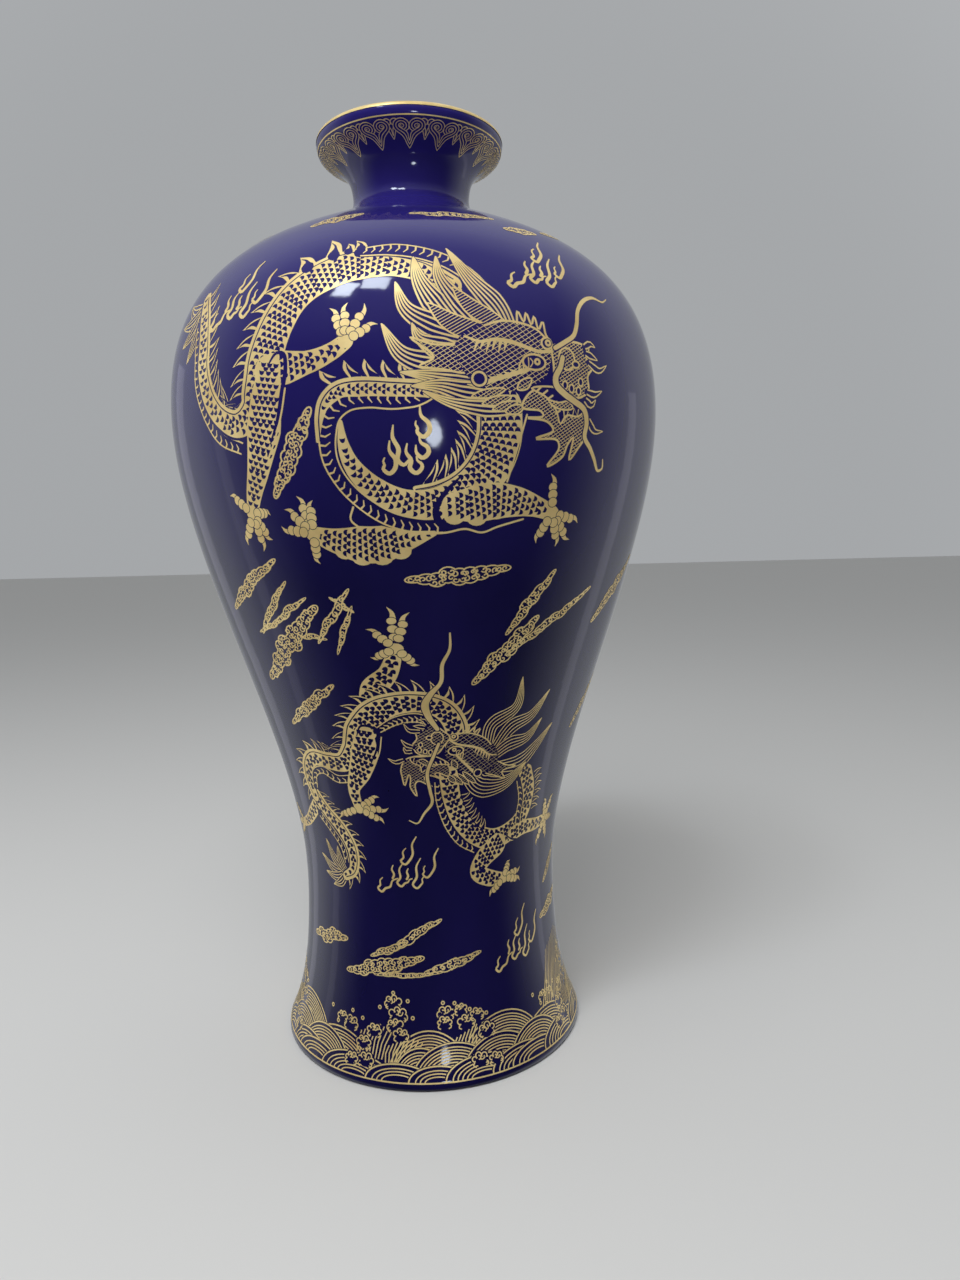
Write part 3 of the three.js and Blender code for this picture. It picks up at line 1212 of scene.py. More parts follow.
def upper_hind_legs(drawing):
    """One leg steps down at the left, one reaches up inside the arch."""
    p = drawing.path
    leg(drawing, p((-29, 296), (-23.5, 296.6), (-19, 298), (-15.4, 300.6), (-13, 303.4)),
        [11, 11.5, 8, 6.4, 5.4],
        p((-16.2, 315.4), (-12.6, 317), (-9.4, 316.4), (-6.8, 308.8)), margin=0, thick=1.7)
    leg(drawing, p((-28.6, 297), (-29.6, 288), (-31, 276), (-33.6, 263), (-36, 254), (-37.6, 247)),
        [9, 12.5, 14.5, 11, 8, 5.4],
        p((-43.6, 254), (-32.6, 246), (-33.4, 237), (-37, 232.6), (-41.4, 235)), margin=0)
    hook = through(p((-29, 297.6), (-27, 301.6), (-25.4, 301), (-25, 296), (-26, 288), (-27.4, 279),
                     (-29.6, 271)), 0.9)
    drawing.line(hook, [0.5, 1.4, 1.6, 1.5, 1.2, 0.5], False)
    drawing.line(through(p((-25.2, 289.4), (-26.4, 281), (-28.4, 272.6), (-30.6, 266)), 0.9), 0.7)


upper_arch(upper)
upper_hind_legs(upper)
print("tail, arch and hind legs", len(upper.pieces), "flat triangles")

# %% [markdown]
# The ring is laid over the arch's end. Its spine starts thin, so it seems to come out from under
# the mane. The front legs follow, with a strip of bare glaze between them and the belly behind.

# %% the ring below the head and the front legs
def upper_ring(drawing):
    """The body comes out from under the mane, turns over once and rings back up."""
    p = drawing.path
    belly(drawing, p((4, 286.6), (1.4, 284.2), (-4, 283), (-9, 283.8), (-13, 283), (-16, 279),
                     (-17.2, 272), (-17, 264), (-14.8, 256), (-11, 249), (-6, 243.4), (0, 240.8),
                     (4.4, 240.8)),
          [1.2, 4.4, 4.8, 5, 5.4, 6, 5.4, 4.8, 4.8, 5, 5, 5, 5], -1)
    tube(drawing, p((4, 287), (-4, 287.7), (-10, 288.3), (-14.4, 287.7), (-17.2, 284.2), (-18.5, 279),
                    (-19.2, 271)), [6, 5.8, 6.2, 6.6, 5.6, 3.4, 1.2], 6.2, -1, 1.9, margin=0,
         lean=-0.6, finned=0.66)
    tube(drawing, p((-14.4, 277), (-14.2, 270), (-13, 263), (-10.2, 256.4), (-6, 251), (-1, 248.4),
                    (5, 249.4), (10, 254), (13.6, 261), (15.4, 270), (15.4, 281)),
         [1.4, 4.4, 6.8, 8.6, 9.4, 10.6, 12.4, 14.4, 15.6, 16, 16], margin=0)
    spine = through(p((-1, 254.8), (3, 256.2), (6.6, 259.4), (9.4, 265), (10.8, 272), (11, 279)), 0.9)
    fin_row(drawing, spine[2:], 7.4, 1, -0.75, 0.75)
    drawing.line(offset(spine, [-0.8] * len(spine)), 1.6)
    drawing.line(offset(spine, [-1.3] * len(spine)), 0.45, False)
    drawing.line(p((21, 279), (17.4, 256)), 0.7)


def upper_front_legs(drawing):
    """The left leg sweeps under the ring, the right one stands in front of it."""
    p = drawing.path
    for place, size in zip(p((-16.4, 232.2), (-12.6, 230.4), (-8.4, 230.4), (-4.4, 232)),
                           (3, 3.6, 3.6, 3.2)):
        drawing.fill(oval(place, size * 1.25, size), True)
    leg(drawing, p((2.6, 238), (-2, 236), (-7, 234.6), (-12, 234.4), (-18, 236), (-23, 238.8)),
        [2, 7, 13.4, 13.6, 9.4, 5.6],
        p((-25.4, 252.6), (-21.8, 251), (-28.8, 248), (-30.4, 242), (-22.4, 227.6)), margin=0)
    drawing.line(through(p((-13.4, 248), (-14.2, 243.6), (-12.4, 240.4)), 0.9), 0.75)
    shade = through(p((8, 258), (4.8, 252), (3, 245.6), (4.4, 240.8), (9.4, 240.6), (13, 240.2),
                      (17, 242.4), (21, 246.8)), 0.9)
    drawing.line(shade, [0.6, 1.8, 2.6, 3.0, 2.8, 2.2, 0.8], False)
    drawing.line(through(p((-1, 238), (5, 238.2), (9, 239.4), (12.6, 238), (16, 240),
                           (21.6, 242.6)), 0.9), 0.75)
    for place, size in zip(p((6.8, 244.2), (11.4, 243.6), (15.6, 245.4)), (3.2, 3.2, 2.8)):
        drawing.fill(oval(place, size * 1.2, size), True)
    leg(drawing, p((7, 247.6), (10, 248), (15, 249.2), (20, 248.8), (24.2, 247.2), (28.6, 244.6)),
        [10, 13.6, 13, 10.6, 7.6, 5.6],
        p((27.2, 259), (36.2, 240.8), (34.6, 234.6), (30.6, 232), (25.4, 233.4)), margin=0)


upper_ring(upper)
upper_front_legs(upper)
print("with the ring and front legs", len(upper.pieces), "flat triangles")

# %% [markdown]
# The mane covers where the arch and the ring meet the head. It goes on before the head, and the two
# whiskers come last, since nothing lies over them. Half a turn on, the same sheet is wrapped again.

# %% the mane and the head
UPPER_MANE = (
    (((18, 306), (16, 315), (11, 326), (7, 339)), 8, 6),
    (((12, 308), (8, 317), (5, 326), (4.6, 335)), 7, 5),
    (((7, 309), (3.4, 317), (1, 325), (0, 334.6)), 8, 6),
    (((9, 305), (3, 308.6), (-1.6, 314), (-3.6, 324)), 8, 5),
    (((9, 299), (4, 301.4), (0.6, 304), (-0.6, 309)), 6, 4),
    (((9, 294), (3, 295), (-2.6, 298.6), (-6.2, 309)), 8, 5),
    (((13, 289), (7, 290), (2, 291.4), (-3, 292.6)), 6, 5),
    (((15, 285), (9, 286), (4, 288), (-1, 288)), 7, 5),
    (((19, 281), (13, 280.6), (6, 282.6), (1, 286.4)), 5, 4))
UPPER_LEAVES = (
    (((17, 309), (11, 314.6), (7.4, 322)), 6),
    (((15, 305), (7, 309), (2.4, 316)), 7),
    (((13, 298), (5, 299), (0, 303)), 7))
mane(upper, UPPER_MANE, 0.72)
for path, width in UPPER_LEAVES:
    leaf(upper, upper.path(*path), width)
head(upper, head_placer(upper, *HEAD_EYE))
whisker(upper, upper.path((29.3, 299.6), (28.6, 296), (27.4, 292.4), (27.6, 289.6), (29.4, 287),
                          (32, 284.6), (34.6, 282), (35.4, 277.5), (35.1, 272.4), (37, 268.4),
                          (38.6, 264.4), (40, 260.6), (41.4, 261.6), (41.2, 265)),
        [1.8, 2.4, 2.2, 1.9, 1.5, 0.5])
whisker(upper, upper.path((27.6, 302.6), (30, 305), (32.6, 308), (33.8, 312), (35, 318),
                          (37.6, 322.6), (41, 324.8), (44.4, 324.2), (46.6, 326.2)),
        [1.6, 1.7, 1.5, 0.4])
gild("gilt_dragon_upper", upper, BOTH_SIDES)

# %% [markdown]
# ## The lower dragon
# It winds round the slim waist and looks left. The gold is the same, but the sheet's touch is finer
# and the scales are darker, so it reads as further away. The body comes first, in two parts.

# %% the lower dragon's body
lower = Drawing(72.0, touch=0.5)
FINE = {"scale": 2.3, "hollow": -0.12}


def lower_back_legs(drawing):
    """The two legs thrown up and back, which the body covers."""
    p = drawing.path
    leg(drawing, p((-47, 121), (-52, 115.6), (-58, 110), (-64, 107)), [6, 6, 5, 4],
        p((-72, 114), (-74, 106), (-71, 99)), thick=1.6, **FINE)
    leg(drawing, p((-16, 168), (-14.2, 177), (-9.8, 184), (-7.2, 194)), [9, 9.6, 6.6, 4.6],
        p((-8.6, 211), (-3.2, 208.6), (-14.2, 202), (-14, 190.6), (-1.4, 187)), thick=1.7, **FINE)


def lower_body(drawing):
    """From the tail at the far left over the long arch."""
    p = drawing.path
    tuft(drawing, p((-37.5, 90))[0], p((-52, 96), (-50.5, 88), (-46, 83), (-47, 104), (-40.6, 102)),
         4.0, 0.42)
    belly(drawing, p((-47, 115.6), (-41, 108), (-37.4, 102), (-36.4, 95)), [3, 3, 3, 2.4],
          -1, 3, 0.45)
    tube(drawing, p((-38, 88.6), (-33.6, 92), (-32.4, 101), (-36.4, 111), (-43, 119), (-47.6, 127)),
         [4, 6, 7, 7, 7, 7], 4.6, -1, margin=0.6, **FINE)
    tube(drawing, p((-47.6, 124), (-48.4, 131), (-46.4, 139), (-42, 143.6), (-35, 143),
                    (-29, 143.4), (-24.6, 149), (-20, 159.6), (-12.6, 169), (-3, 171.4),
                    (4.4, 168.2), (8.6, 160), (9, 151)),
         [5, 7, 7.4, 8, 8.6, 10, 13, 12.6, 10, 9, 9, 9, 9], 5.4, 1, margin=0.5, **FINE)
    belly(drawing, p((-45.6, 129), (-43.8, 135.6), (-39, 138.2), (-33, 135), (-27, 136)),
          [2.6, 3, 3.4, 3.4, 3], -1, 2.6, 0.45, 0.3)
    belly(drawing, p((-14.6, 159), (-9, 163.2), (-3, 164.4), (2.4, 161.4)), [2.4, 3.4, 3.8, 3],
          -1, 2.4, 0.45, 0.3)


def lower_loop(drawing):
    """The body comes out under the jaw, rounds the bottom and climbs to the mane again."""
    p = drawing.path
    belly(drawing, p((3.4, 135), (4, 126), (7, 115), (11.6, 107), (18, 102)), [3.4, 3.8, 4, 4, 3.4],
          -1, 2.8, 0.45)
    tube(drawing, p((6.6, 138), (8, 127), (11.6, 116.4), (17.6, 109), (25, 105.4), (33, 107.4),
                    (39, 114.6), (40, 124), (36.6, 134)), [8, 8, 8.4, 9.4, 9.8, 10, 8.4, 7.6, 7.4],
         margin=0.3, **FINE)
    belly(drawing, p((37.6, 104.6), (36.6, 113), (36.6, 122), (34, 131)), [2.6, 3, 3, 2.4],
          1, 2.6, 0.45, 0.2)
    inner = through(p((11, 129), (14, 119.6), (19, 112), (23, 110)), 1.1)
    fin_row(drawing, inner, 4.6, 1, 0.2)
    drawing.line(inner, 0.45, False)
    fin_row(drawing, through(p((43.4, 114), (43.6, 125), (40.4, 135)), 1.1), 5.0, -1, 0.0)


lower_back_legs(lower)
lower_body(lower)
lower_loop(lower)
print("the lower dragon's body", len(lower.pieces), "flat triangles")

# %% [markdown]
# Legs, mane and head go on in the upper dragon's order. The head is the same one, smaller, turned
# and mirrored by its mapping.

# %% the lower dragon's legs, mane and head
def lower_front_legs(drawing):
    """Three braced legs in front of the body."""
    p = drawing.path
    leg(drawing, p((-19.4, 157), (-20.6, 148), (-23.6, 139), (-27, 131), (-26.4, 122)),
        [8, 12, 10, 6, 4.6], p((-35.6, 116.4), (-17.6, 128), (-14.6, 123.4), (-17, 115.6)),
        margin=0, thick=1.8, **FINE)
    drawing.line(through(p((-22, 156), (-20, 160.6), (-15.6, 159.4), (-15.6, 152), (-19, 143)), 0.9),
                 [0.4, 1.1, 1.1, 0.9, 0.4], False)
    drawing.line(through(p((-14, 156), (-15.4, 148.6), (-19, 139.6)), 0.9), 0.5)
    leg(drawing, p((35, 105.6), (41, 107), (48, 106.4), (55, 107)), [7, 7, 6, 4.6],
        p((52, 117), (60, 117), (62, 107), (58, 96), (51, 95)), margin=0, thick=1.7, **FINE)
    leg(drawing, p((27, 102), (21.4, 97), (19, 91.6), (24, 87.8), (31.6, 86)), [11, 9.8, 7.8, 7.4, 4.6],
        p((24.6, 79), (34.6, 93.4), (40.4, 89), (40.6, 82.2)), margin=0, thick=1.8, **FINE)
    drawing.line(through(p((31, 106), (34, 103.4), (37.6, 101.6), (33, 98.6), (27, 94)), 0.9),
                 [0.4, 1.1, 1.1, 0.4], False)


LOWER_MANE = (
    (((19, 150), (20, 159), (27.6, 166), (28, 179)), 6, 5),
    (((22, 148), (27, 157), (34, 161), (39.6, 171.4)), 6.4, 5),
    (((22, 145), (27, 149), (34, 151), (39, 158.6)), 6.4, 5),
    (((24, 139), (33, 140), (39, 146), (45, 155)), 7, 5),
    (((13, 139), (18, 131.6), (28, 131.4), (36, 139)), 10, 7))
lower_front_legs(lower)
mane(lower, LOWER_MANE, 0.42)
LOWER_HEAD = 0.72
head(lower, head_placer(lower, 8.0, 149.0, LOWER_HEAD, turn=-30, mirror=-1), LOWER_HEAD)
whisker(lower, lower.path((3.4, 152.4), (1.8, 147), (-0.4, 139), (0.4, 131), (1, 125.6),
                          (-2, 120.6), (-4.6, 116.2), (-7.6, 117.6)), [1.2, 1.4, 1.3, 0.5], 0.7)
whisker(lower, lower.path((3, 159), (0.4, 165), (-0.4, 170), (1.2, 174.4), (4, 179.4), (4.4, 187),
                          (6.2, 193), (6.2, 200)), [1.6, 2.8, 1.4, 1.2, 0.5], 0.7)
gild("gilt_dragon_lower", lower, BOTH_SIDES)

# %% [markdown]
# ## Fire and clouds in the field
# Small motifs fill the gaps so that no patch of glaze is wider than a hand's breadth. They are kept
# on one sheet per belt of the wall, because a flat sheet only fits where its radius is the wall's.
# A seed for each cloud lays its lobes and curls at random, but the same way every time.

# %% a sheet of sky
def sky(radius, flames, clouds, first_seed, line_width):
    """A sheet for a belt of the wall, with its flames and clouds. Each cloud has its own seed."""
    sheet = Drawing(radius)
    for spot, licks, width, lean, bow in flames:
        flame(sheet, sheet.at(*spot), licks, width, lean, bow)
    for index, (tail, top, height) in enumerate(clouds):
        cloud(sheet, *sheet.path(tail, top), height, first_seed + index, line_width)
    return sheet


# %% flames beside the arch, over the head and in the ring, and clouds on the shoulder
UPPER_FLAMES = (((-40.4, 317.2), LICKS, 1.25, -0.1, 1.8), ((25.3, 326.6), LICKS, 1.25, 0.0, 1.8),
                ((-0.8, 259.2), RING_LICKS, 1.35, 0.0, 2.0))
UPPER_CLOUDS = (((-30, 253), (-20.5, 281.4), 7.5), ((-28, 362), (-15, 368.4), 8.4),
                ((0, 366), (24, 367.5), 6.4), ((25, 357), (34.5, 357.6), 6),
                ((40, 362), (53, 368), 5.5), ((-62, 362), (-49, 368), 5.5))
gild("gilt_sky_upper", sky(100.0, UPPER_FLAMES, UPPER_CLOUDS, 0, 0.65), BOTH_SIDES)

# %% slanting clouds between the two dragons
MIDDLE_CLOUDS = (((-56.4, 209), (-35, 229), 5.4), ((-46, 200), (-33.4, 220), 3.4),
                 ((-41, 203), (-29, 214), 3.0), ((-47, 199.6), (-38.4, 204.4), 2.4),
                 ((-36, 200), (-25.6, 198), 2.6), ((-21.6, 214.4), (-16.8, 209), 2.2),
                 ((-50, 179), (-26, 210), 8.6), ((-27, 197), (-17.4, 217), 3.4),
                 ((-22.4, 193), (-17.2, 210), 2.6), ((-46.6, 159), (-26.8, 177.6), 5.6),
                 ((-3, 221), (19, 224), 7.0), ((13, 179), (29, 203.6), 7.0),
                 ((21, 199), (31.6, 222), 4.6), ((22, 190), (45.6, 214), 3.6),
                 ((52, 200), (70, 226), 6.0), ((60, 150), (76, 172), 6.0))
gild("gilt_sky_middle", sky(80.0, (), MIDDLE_CLOUDS, 20, 0.55), BOTH_SIDES)

# %% flames and flat clouds above the waves
LOW_FLAMES = (((-12.8, 87.2), LICKS, 0.9, -0.17, 1.8), ((36, 48), LICKS, 0.95, -0.17, 1.8))
LOW_CLOUDS = (((-62, 56), (-40, 60.6), 6.5), ((-38, 47), (-5, 55.6), 7.0),
              ((-20, 58), (2.4, 72), 4.4), ((-26, 56), (-12, 62), 3.6),
              ((-24, 47.6), (2, 49.6), 2.4), ((-3, 50), (18.6, 56), 4.6),
              ((56, 60), (76, 66), 6.0), ((60, 76), (72, 88), 4.6))


def tall_spray(drawing):
    """Fine strokes that fan out high over the waves at the right."""
    for step in range(11):
        root, tip = drawing.path((49 + step * 1.7, 21), (58 + step * 1.9, 50 - abs(step - 6)))
        bend = root.lerp(tip, 0.5) + Vector((1.2, 0))
        drawing.line(through([root, bend, tip], 1.2), [0.6, 0.6, 0.3])


low_sky = sky(62.0, LOW_FLAMES, LOW_CLOUDS, 40, 0.55)
tall_spray(low_sky)
gild("gilt_sky_lower", low_sky, BOTH_SIDES)

# %% [markdown]
# ## Waves round the foot
# The dragons rise from a sea: three rows of overlapping humps, each a fan of fine arcs inside a
# bolder rim, with foam and drops between. The places are those of a quarter of the round. Each row
# goes all the way round before the next, from the rear one to the front one, so no row is covered
# by the one behind it where two quarters meet.

# %% waves
WAVE_BASE = 5.2
WAVE_PITCH = 1.2
ARC_STEPS = 24


def hump(drawing, degrees, top, half_width):
    """One wave: a dark half oval with arcs inside it."""
    centre = drawing.at(degrees, WAVE_BASE)
    wide = math.radians(half_width) * drawing.radius
    high = top - WAVE_BASE

    def arc(inset):
        reach = wide * (1 - 0.86 * inset / high)
        return [centre + Vector((reach * math.cos(a), (high - inset) * math.sin(a)))
                for a in (math.pi * index / ARC_STEPS for index in range(ARC_STEPS + 1))]

    drawing.fill(arc(-0.5), False)
    drawing.line(arc(0), 0.6)
    for index in range(int((high - 2.2) / WAVE_PITCH)):
        drawing.line(arc(1.7 + index * WAVE_PITCH), 0.5)


def foam(drawing, degrees, along, size, seed):
    """A crest of foam: a few lobes with one common outline, open below, with hooks inside."""
    rng = random.Random(seed)
    centre = drawing.at(degrees, along)
    lean = rng.uniform(-0.5, 0.5)
    lobes = []
    for step in range(4):
        angle = lean + math.pi * (0.02 + 0.32 * step)
        reach = Vector((math.cos(angle) * 0.42, math.sin(angle) * 0.3)) * size
        lobes.append((centre + reach, size * rng.uniform(0.19, 0.25)))
    for grow, gold in ((0.6, False), (0.0, True), (-0.55, False)):
        for spot, radius in lobes:
            drawing.fill(oval(spot, radius + grow, radius + grow, 0, 12), gold)
    drawing.fill(oval(centre - Vector((0, size * 0.12)), size * 0.36, size * 0.3, lean), False)
    for spot, radius in lobes[1:3]:
        way = (centre - spot) * 0.9
        side = Vector((-way.y, way.x)) * 0.35
        drawing.line(through([spot, spot + way * 0.5 + side, spot + way, spot + way * 0.8 - side],
                             0.6), 0.5)
    for hand in (-1, 1):
        root = centre + Vector((hand * size * 0.42, -size * 0.1))
        path = [root, root + Vector((hand * 0.6, -1.3)), root + Vector((-hand * 0.6, -2.0))]
        drawing.line(through(path, 0.6), 0.55)


def drop(drawing, degrees, along):
    """A tiny ring of spray."""
    drawing.fill(oval(drawing.at(degrees, along), 0.95, 0.95, corners=10), True)
    drawing.fill(oval(drawing.at(degrees, along), 0.4, 0.4, corners=8), False)


try_out("a wave", hump, 0, 20, 15)
try_out("a crest of foam", foam, 0, 30, 7, 0)

# %% the sea, row by row
QUARTERS = (-90, 0, 90, 180)
REAR_HUMPS = ((-40, 21.5, 17), (-3, 25.4, 15), (27, 28.4, 19))
SPRAY = ((-26, 13, 27), (-14, 12, 23), (12, 17, 26))
MIDDLE_HUMPS = ((-48, 19.6, 14), (-6, 18.6, 10), (6, 20, 15), (24, 20.4, 15))
FRONT_HUMPS = ((-50, 11.6, 12), (-31, 13.6, 15), (-14, 12, 12), (0, 11.4, 10), (17, 13.8, 14),
               (33, 13, 13))
CRESTS = ((-17, 36.4, 7), (-15, 31.4, 7.5), (-16, 27, 6.5), (-13.6, 23.4, 6), (-35.4, 24.6, 7),
          (4, 32, 6.6), (10, 33.2, 5), (12, 27.6, 7), (16.4, 30, 5.6), (3.4, 28.4, 5.6),
          (-28.6, 18.4, 6), (-27, 11.6, 6.4), (-33, 11, 5.4), (16, 11.6, 6.4), (22, 10.6, 5.4),
          (20, 22.6, 7), (-24.6, 24, 6), (-40, 26, 5))
DROPS = ((-17, 40.6), (-11, 37.6), (-9, 30.6), (-22.6, 34), (-30, 28), (-35, 30), (-42, 23.6),
         (3, 36.6), (7.6, 36), (13.6, 32.6), (20.4, 29.6), (-46, 29))


def spray(drawing, degrees, low, high):
    """A fan of fine strokes where two waves meet."""
    for step in range(9):
        root = drawing.at(degrees - 5 + step * 1.3, low)
        tip = drawing.at(degrees - 4 + step * 1.6, high - abs(step - 5) * 0.8)
        drawing.line([root, root.lerp(tip, 0.5) + Vector((-0.8, 0)), tip], 0.55)


def sea(drawing):
    """The wave band: every row of humps in turn, then the foam and the drops on top."""
    for draw, places in ((hump, REAR_HUMPS), (spray, SPRAY), (hump, MIDDLE_HUMPS),
                         (hump, FRONT_HUMPS)):
        for turn in QUARTERS:
            for degrees, first, last in places:
                draw(drawing, degrees + turn, first, last)
    for turn in QUARTERS:
        for index, (degrees, along, size) in enumerate(CRESTS):
            foam(drawing, degrees + turn, along, size, index)
        for degrees, along in DROPS:
            drop(drawing, degrees + turn, along)


waves = Drawing(66.0)
sea(waves)
gild("gilt_waves", waves)

# %% [markdown]
# ## Border lines and the lip
# Plain gold lines close the design at the foot and under the rim. The rim's crown is fully gilded.
# On the underside of the lip hangs a ring of sixteen cloud-head lappets with smaller ones between.

# %% a gold line right round
HOOP_STEPS = 120


def hoop(drawing, along, width):
    """A level line once round the sheet, in one piece."""
    reach = math.pi * drawing.radius
    low = [Vector((-reach + 2 * reach * step / HOOP_STEPS, along - width / 2))
           for step in range(HOOP_STEPS + 1)]
    high = [Vector((point.x, along + width / 2)) for point in low]
    drawing.band(high, low)


lines = Drawing(66.0)
hoop(lines, 4.9, 0.6)
gild("gilt_foot_line", lines)

# %% [markdown]
# A lappet is a few nested lines. Each runs round a scroll, down the side and to one blunt point,
# and the other half is its mirror image. The innermost line starts further back, so its scroll
# turns once more. The small lappets are drawn first and hang between the large ones.

# %% lappets under the lip
LAPPETS = 16
LAPPET_TOP = 449.0
LAPPET_PITCH = 1.1


def lappet(drawing, degrees, depth, scroll, rings):
    """A hanging cloud-head: nested lines that run from two scrolls down to one blunt point."""
    middle = drawing.at(degrees, LAPPET_TOP)
    for ring in range(rings):
        radius = scroll - ring * LAPPET_PITCH
        start = -10 if ring == rings - 1 else -1
        for hand in (-1, 1):
            eye = Vector((hand * scroll * 0.98, -scroll))
            path = []
            for step in range(start, 9):
                angle = math.radians(-25 + 30 * step)
                reach = radius * min(1.0, 1 + step * 0.08)
                path.append(eye + Vector((-hand * math.cos(angle), math.sin(angle))) * reach)
            path.append(Vector((hand * radius * 0.9, -depth * 0.62 + ring * 0.8)))
            path.append(Vector((hand * radius * 0.3, -depth * 0.9 + ring * 1.3)))
            path.append(Vector((0, -depth + ring * 1.5)))
            smooth = [middle + point for point in through(path, 0.6)]
            if ring == 0:
                drawing.fill([middle + Vector((0, -scroll)), *smooth], False)
            drawing.line(smooth, 0.36)
    drawing.fill(oval(middle - Vector((0, scroll * 1.25)), 0.35, 0.6, 0, 8), True)


lip = Drawing(36.0)
for index in range(LAPPETS):
    lappet(lip, (index + 0.5) * 360 / LAPPETS - 180, 9.0, 1.5, 2)
for index in range(LAPPETS):
    lappet(lip, index * 360 / LAPPETS - 180, 12.6, 3.2, 3)
hoop(lip, LAPPET_TOP + 1.3, 0.5)
gild("gilt_lappets", lip)

# %% the gilded rim
RIM_ROWS = 4
RIM_DROP = 0.5
RIM_PITCH = 0.6
RIM_WIDTH = 0.62
rim = Drawing(40.0)
for row in range(RIM_ROWS):
    hoop(rim, wall_length[-1] / MM - RIM_DROP - RIM_PITCH * row, RIM_WIDTH)
gild("gilt_rim", rim)

# %% [markdown]
# ## A floor, a room and lamps
# A dark glaze shows little colour of its own: most of what one sees in it is the room, mirrored. So
# the room is a pale one with two soft ramps of light, front to back and floor to ceiling, and the
# floor, which would turn the foot grey, isn't mirrored at all.

# %% the floor and the room
FLOOR_HALF = 6.0
FLOOR_COLOUR = (0.62, 0.61, 0.59, 1)
ROOM_TINT = (0.94, 0.97, 1.0, 1)
ROOM_FRONT_TO_BACK = ((-0.5, 0.03), (0.4, 0.68), (0.9, 0.4))
ROOM_FLOOR_TO_CEILING = ((0.2, 0.0), (0.95, 0.42))


def add_floor():
    """A plain pale square, far wider than the view."""
    mesh = bpy.data.meshes.new("floor")
    far = FLOOR_HALF
    mesh.from_pydata([(-far, -far, 0), (far, -far, 0), (far, far, 0), (-far, far, 0)],
                     [], [(0, 1, 2, 3)])
    floor = bpy.data.objects.new("floor", mesh)
    bpy.context.scene.collection.objects.link(floor)
    material, _, shader, _ = new_finish("pale_floor")
    shader.inputs["Base Color"].default_value = FLOOR_COLOUR
    shader.inputs["Roughness"].default_value = 0.8
    mesh.materials.append(material)
    floor.visible_glossy = False


def light_room():
    """A pale room that is dark behind the camera."""
    room = bpy.data.worlds.new("room")
    room.use_nodes = True
    tree = room.node_tree
    where = tree.nodes.new("ShaderNodeTexCoord")
    axes = tree.nodes.new("ShaderNodeSeparateXYZ")
    tree.links.new(where.outputs["Generated"], axes.inputs["Vector"])
    levels = []
    for axis, steps in (("Y", ROOM_FRONT_TO_BACK), ("Z", ROOM_FLOOR_TO_CEILING)):
        share = tree.nodes.new("ShaderNodeMapRange")
        share.inputs["From Min"].default_value = -1.0
        tree.links.new(axes.outputs[axis], share.inputs["Value"])
        ramp = tree.nodes.new("ShaderNodeValToRGB")
        ramp.color_ramp.interpolation = "EASE"
        stops = ramp.color_ramp.elements
        for index, (place, level) in enumerate(steps):
            stop = stops[index] if index < 2 else stops.new(1)
            stop.position = (place + 1) / 2
            stop.color = (level, level, level, 1)
        tree.links.new(share.outputs["Result"], ramp.inputs["Fac"])
        levels.append(ramp.outputs["Color"])
    brighter = tree.nodes.new("ShaderNodeMath")
    brighter.operation = "MAXIMUM"
    tree.links.new(levels[0], brighter.inputs[0])
    tree.links.new(levels[1], brighter.inputs[1])
    background = tree.nodes["Background"]
    background.inputs["Color"].default_value = ROOM_TINT
    tree.links.new(brighter.outputs["Value"], background.inputs["Strength"])
    bpy.context.scene.world = room


add_floor()
light_room()
print("floor", 2 * FLOOR_HALF, "m wide, world", bpy.context.scene.world.name)

# %% [markdown]
# A glassy glaze shows its lights as highlights, so each lamp is placed by the spot on the wall where
# it has to be mirrored: from the eye to that spot, and on by the law of the mirror. Two panes light
# the shoulder, a round spot the belly, and three tall strips draw the long edges. One large lamp
# from the front fills in and isn't mirrored.

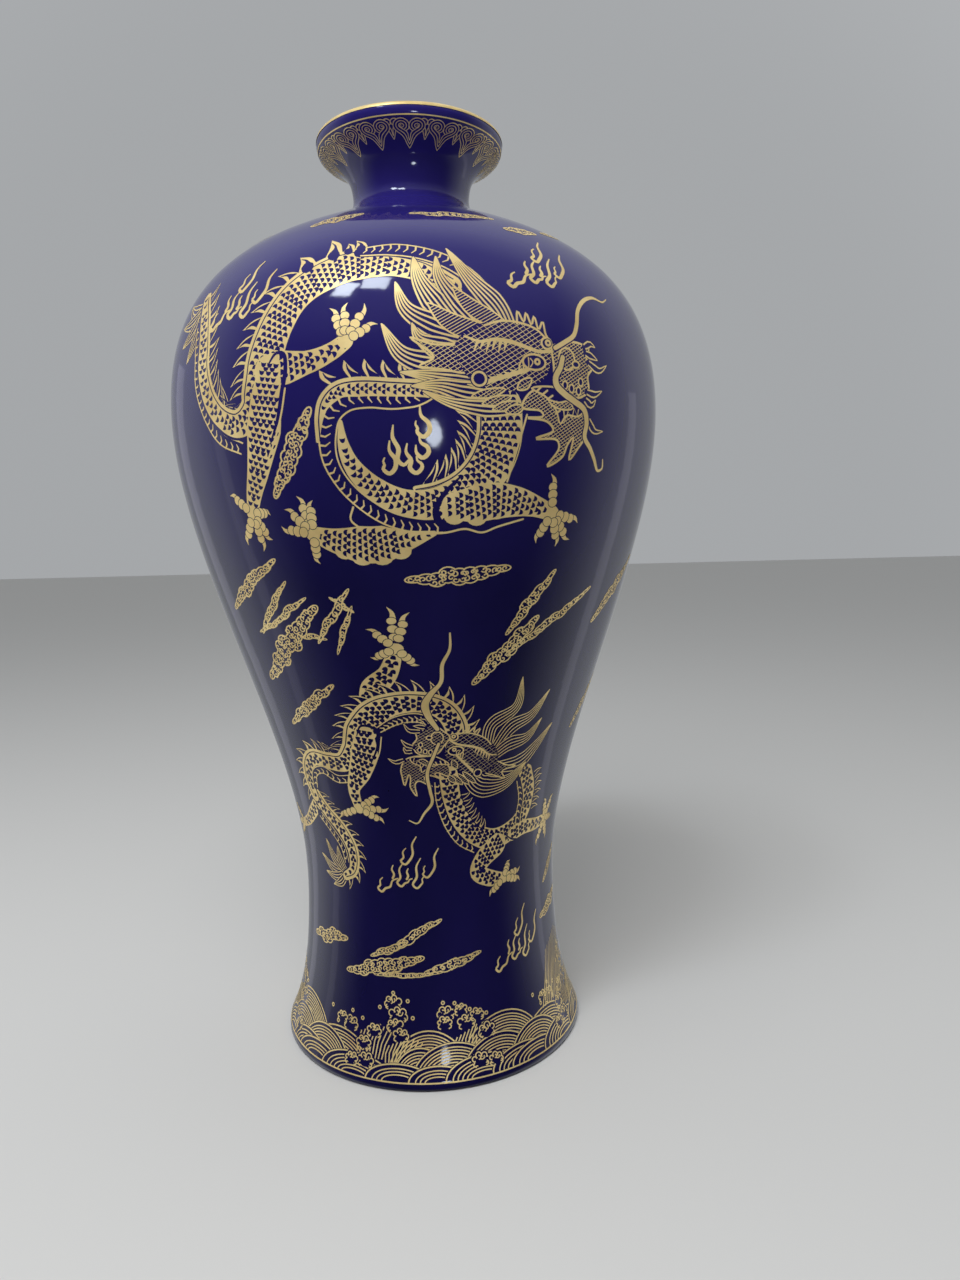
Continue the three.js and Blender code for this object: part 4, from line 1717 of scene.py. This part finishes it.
# %% the lamps
PANE_COLOUR = (0.82, 0.9, 1.0)
STRIP_COLOUR = (0.86, 0.84, 1.0)
STRIP_ALONG = 230.0
STRIP_DISTANCE = 1.5
STRIP_LENGTH = 1.5


def mirrored_place(degrees, along, distance):
    """Where a thing must stand to be mirrored by the glaze at a place on the wall, and that place."""
    place, way = wall_point(math.radians(degrees), along * MM, 0.0)
    sight = (place - Vector((0, -EYE_DISTANCE, EYE_HEIGHT))).normalized()
    return place + sight.reflect(way) * distance, place


def add_lamp(name, place, target, size, power, tint=(1, 1, 1)):
    """A broad lamp at a place, aimed at its target. Only the spot is round."""
    data = bpy.data.lights.new(name, "AREA")
    data.shape = "ELLIPSE" if name == "spot" else "RECTANGLE"
    data.size, data.size_y = size
    data.energy = power
    data.color = tint
    lamp = bpy.data.objects.new(name, data)
    bpy.context.scene.collection.objects.link(lamp)
    way = Vector(target) - Vector(place)
    turn = way.to_track_quat("-Z", "Y").to_matrix().to_4x4()
    lamp.matrix_world = Matrix.Translation(place) @ turn
    print(name, "at", [round(value, 2) for value in place], power, "W")
    return lamp


for name, degrees, along, distance, size, power in (
        ("pane_left", -13.4, 322.0, 1.5, (0.20, 0.24), 3.0),
        ("pane_right", -7.4, 324.0, 1.5, (0.25, 0.22), 3.0),
        ("spot", 2.8, 272.2, 1.2, (0.16, 0.16), 1.0)):
    place, target = mirrored_place(degrees, along, distance)
    add_lamp(name, place, target, size, power, PANE_COLOUR)
for name, degrees, width, power in (("strip_left", -42.0, 0.20, 0.22),
                                    ("strip_side", -60.0, 0.30, 0.40),
                                    ("strip_right", 50.0, 0.22, 0.3)):
    place, target = mirrored_place(degrees, STRIP_ALONG, STRIP_DISTANCE)
    strip = add_lamp(name, place, target, (width, STRIP_LENGTH), power, STRIP_COLOUR)
    strip.visible_camera = False
    strip.visible_diffuse = False
fill = add_lamp("fill", (-0.25, -0.6, 1.0), (0, 0, 0.3), (0.7, 0.7), 8.6)
fill.visible_glossy = False
bpy.context.scene.view_settings.view_transform = "Standard"
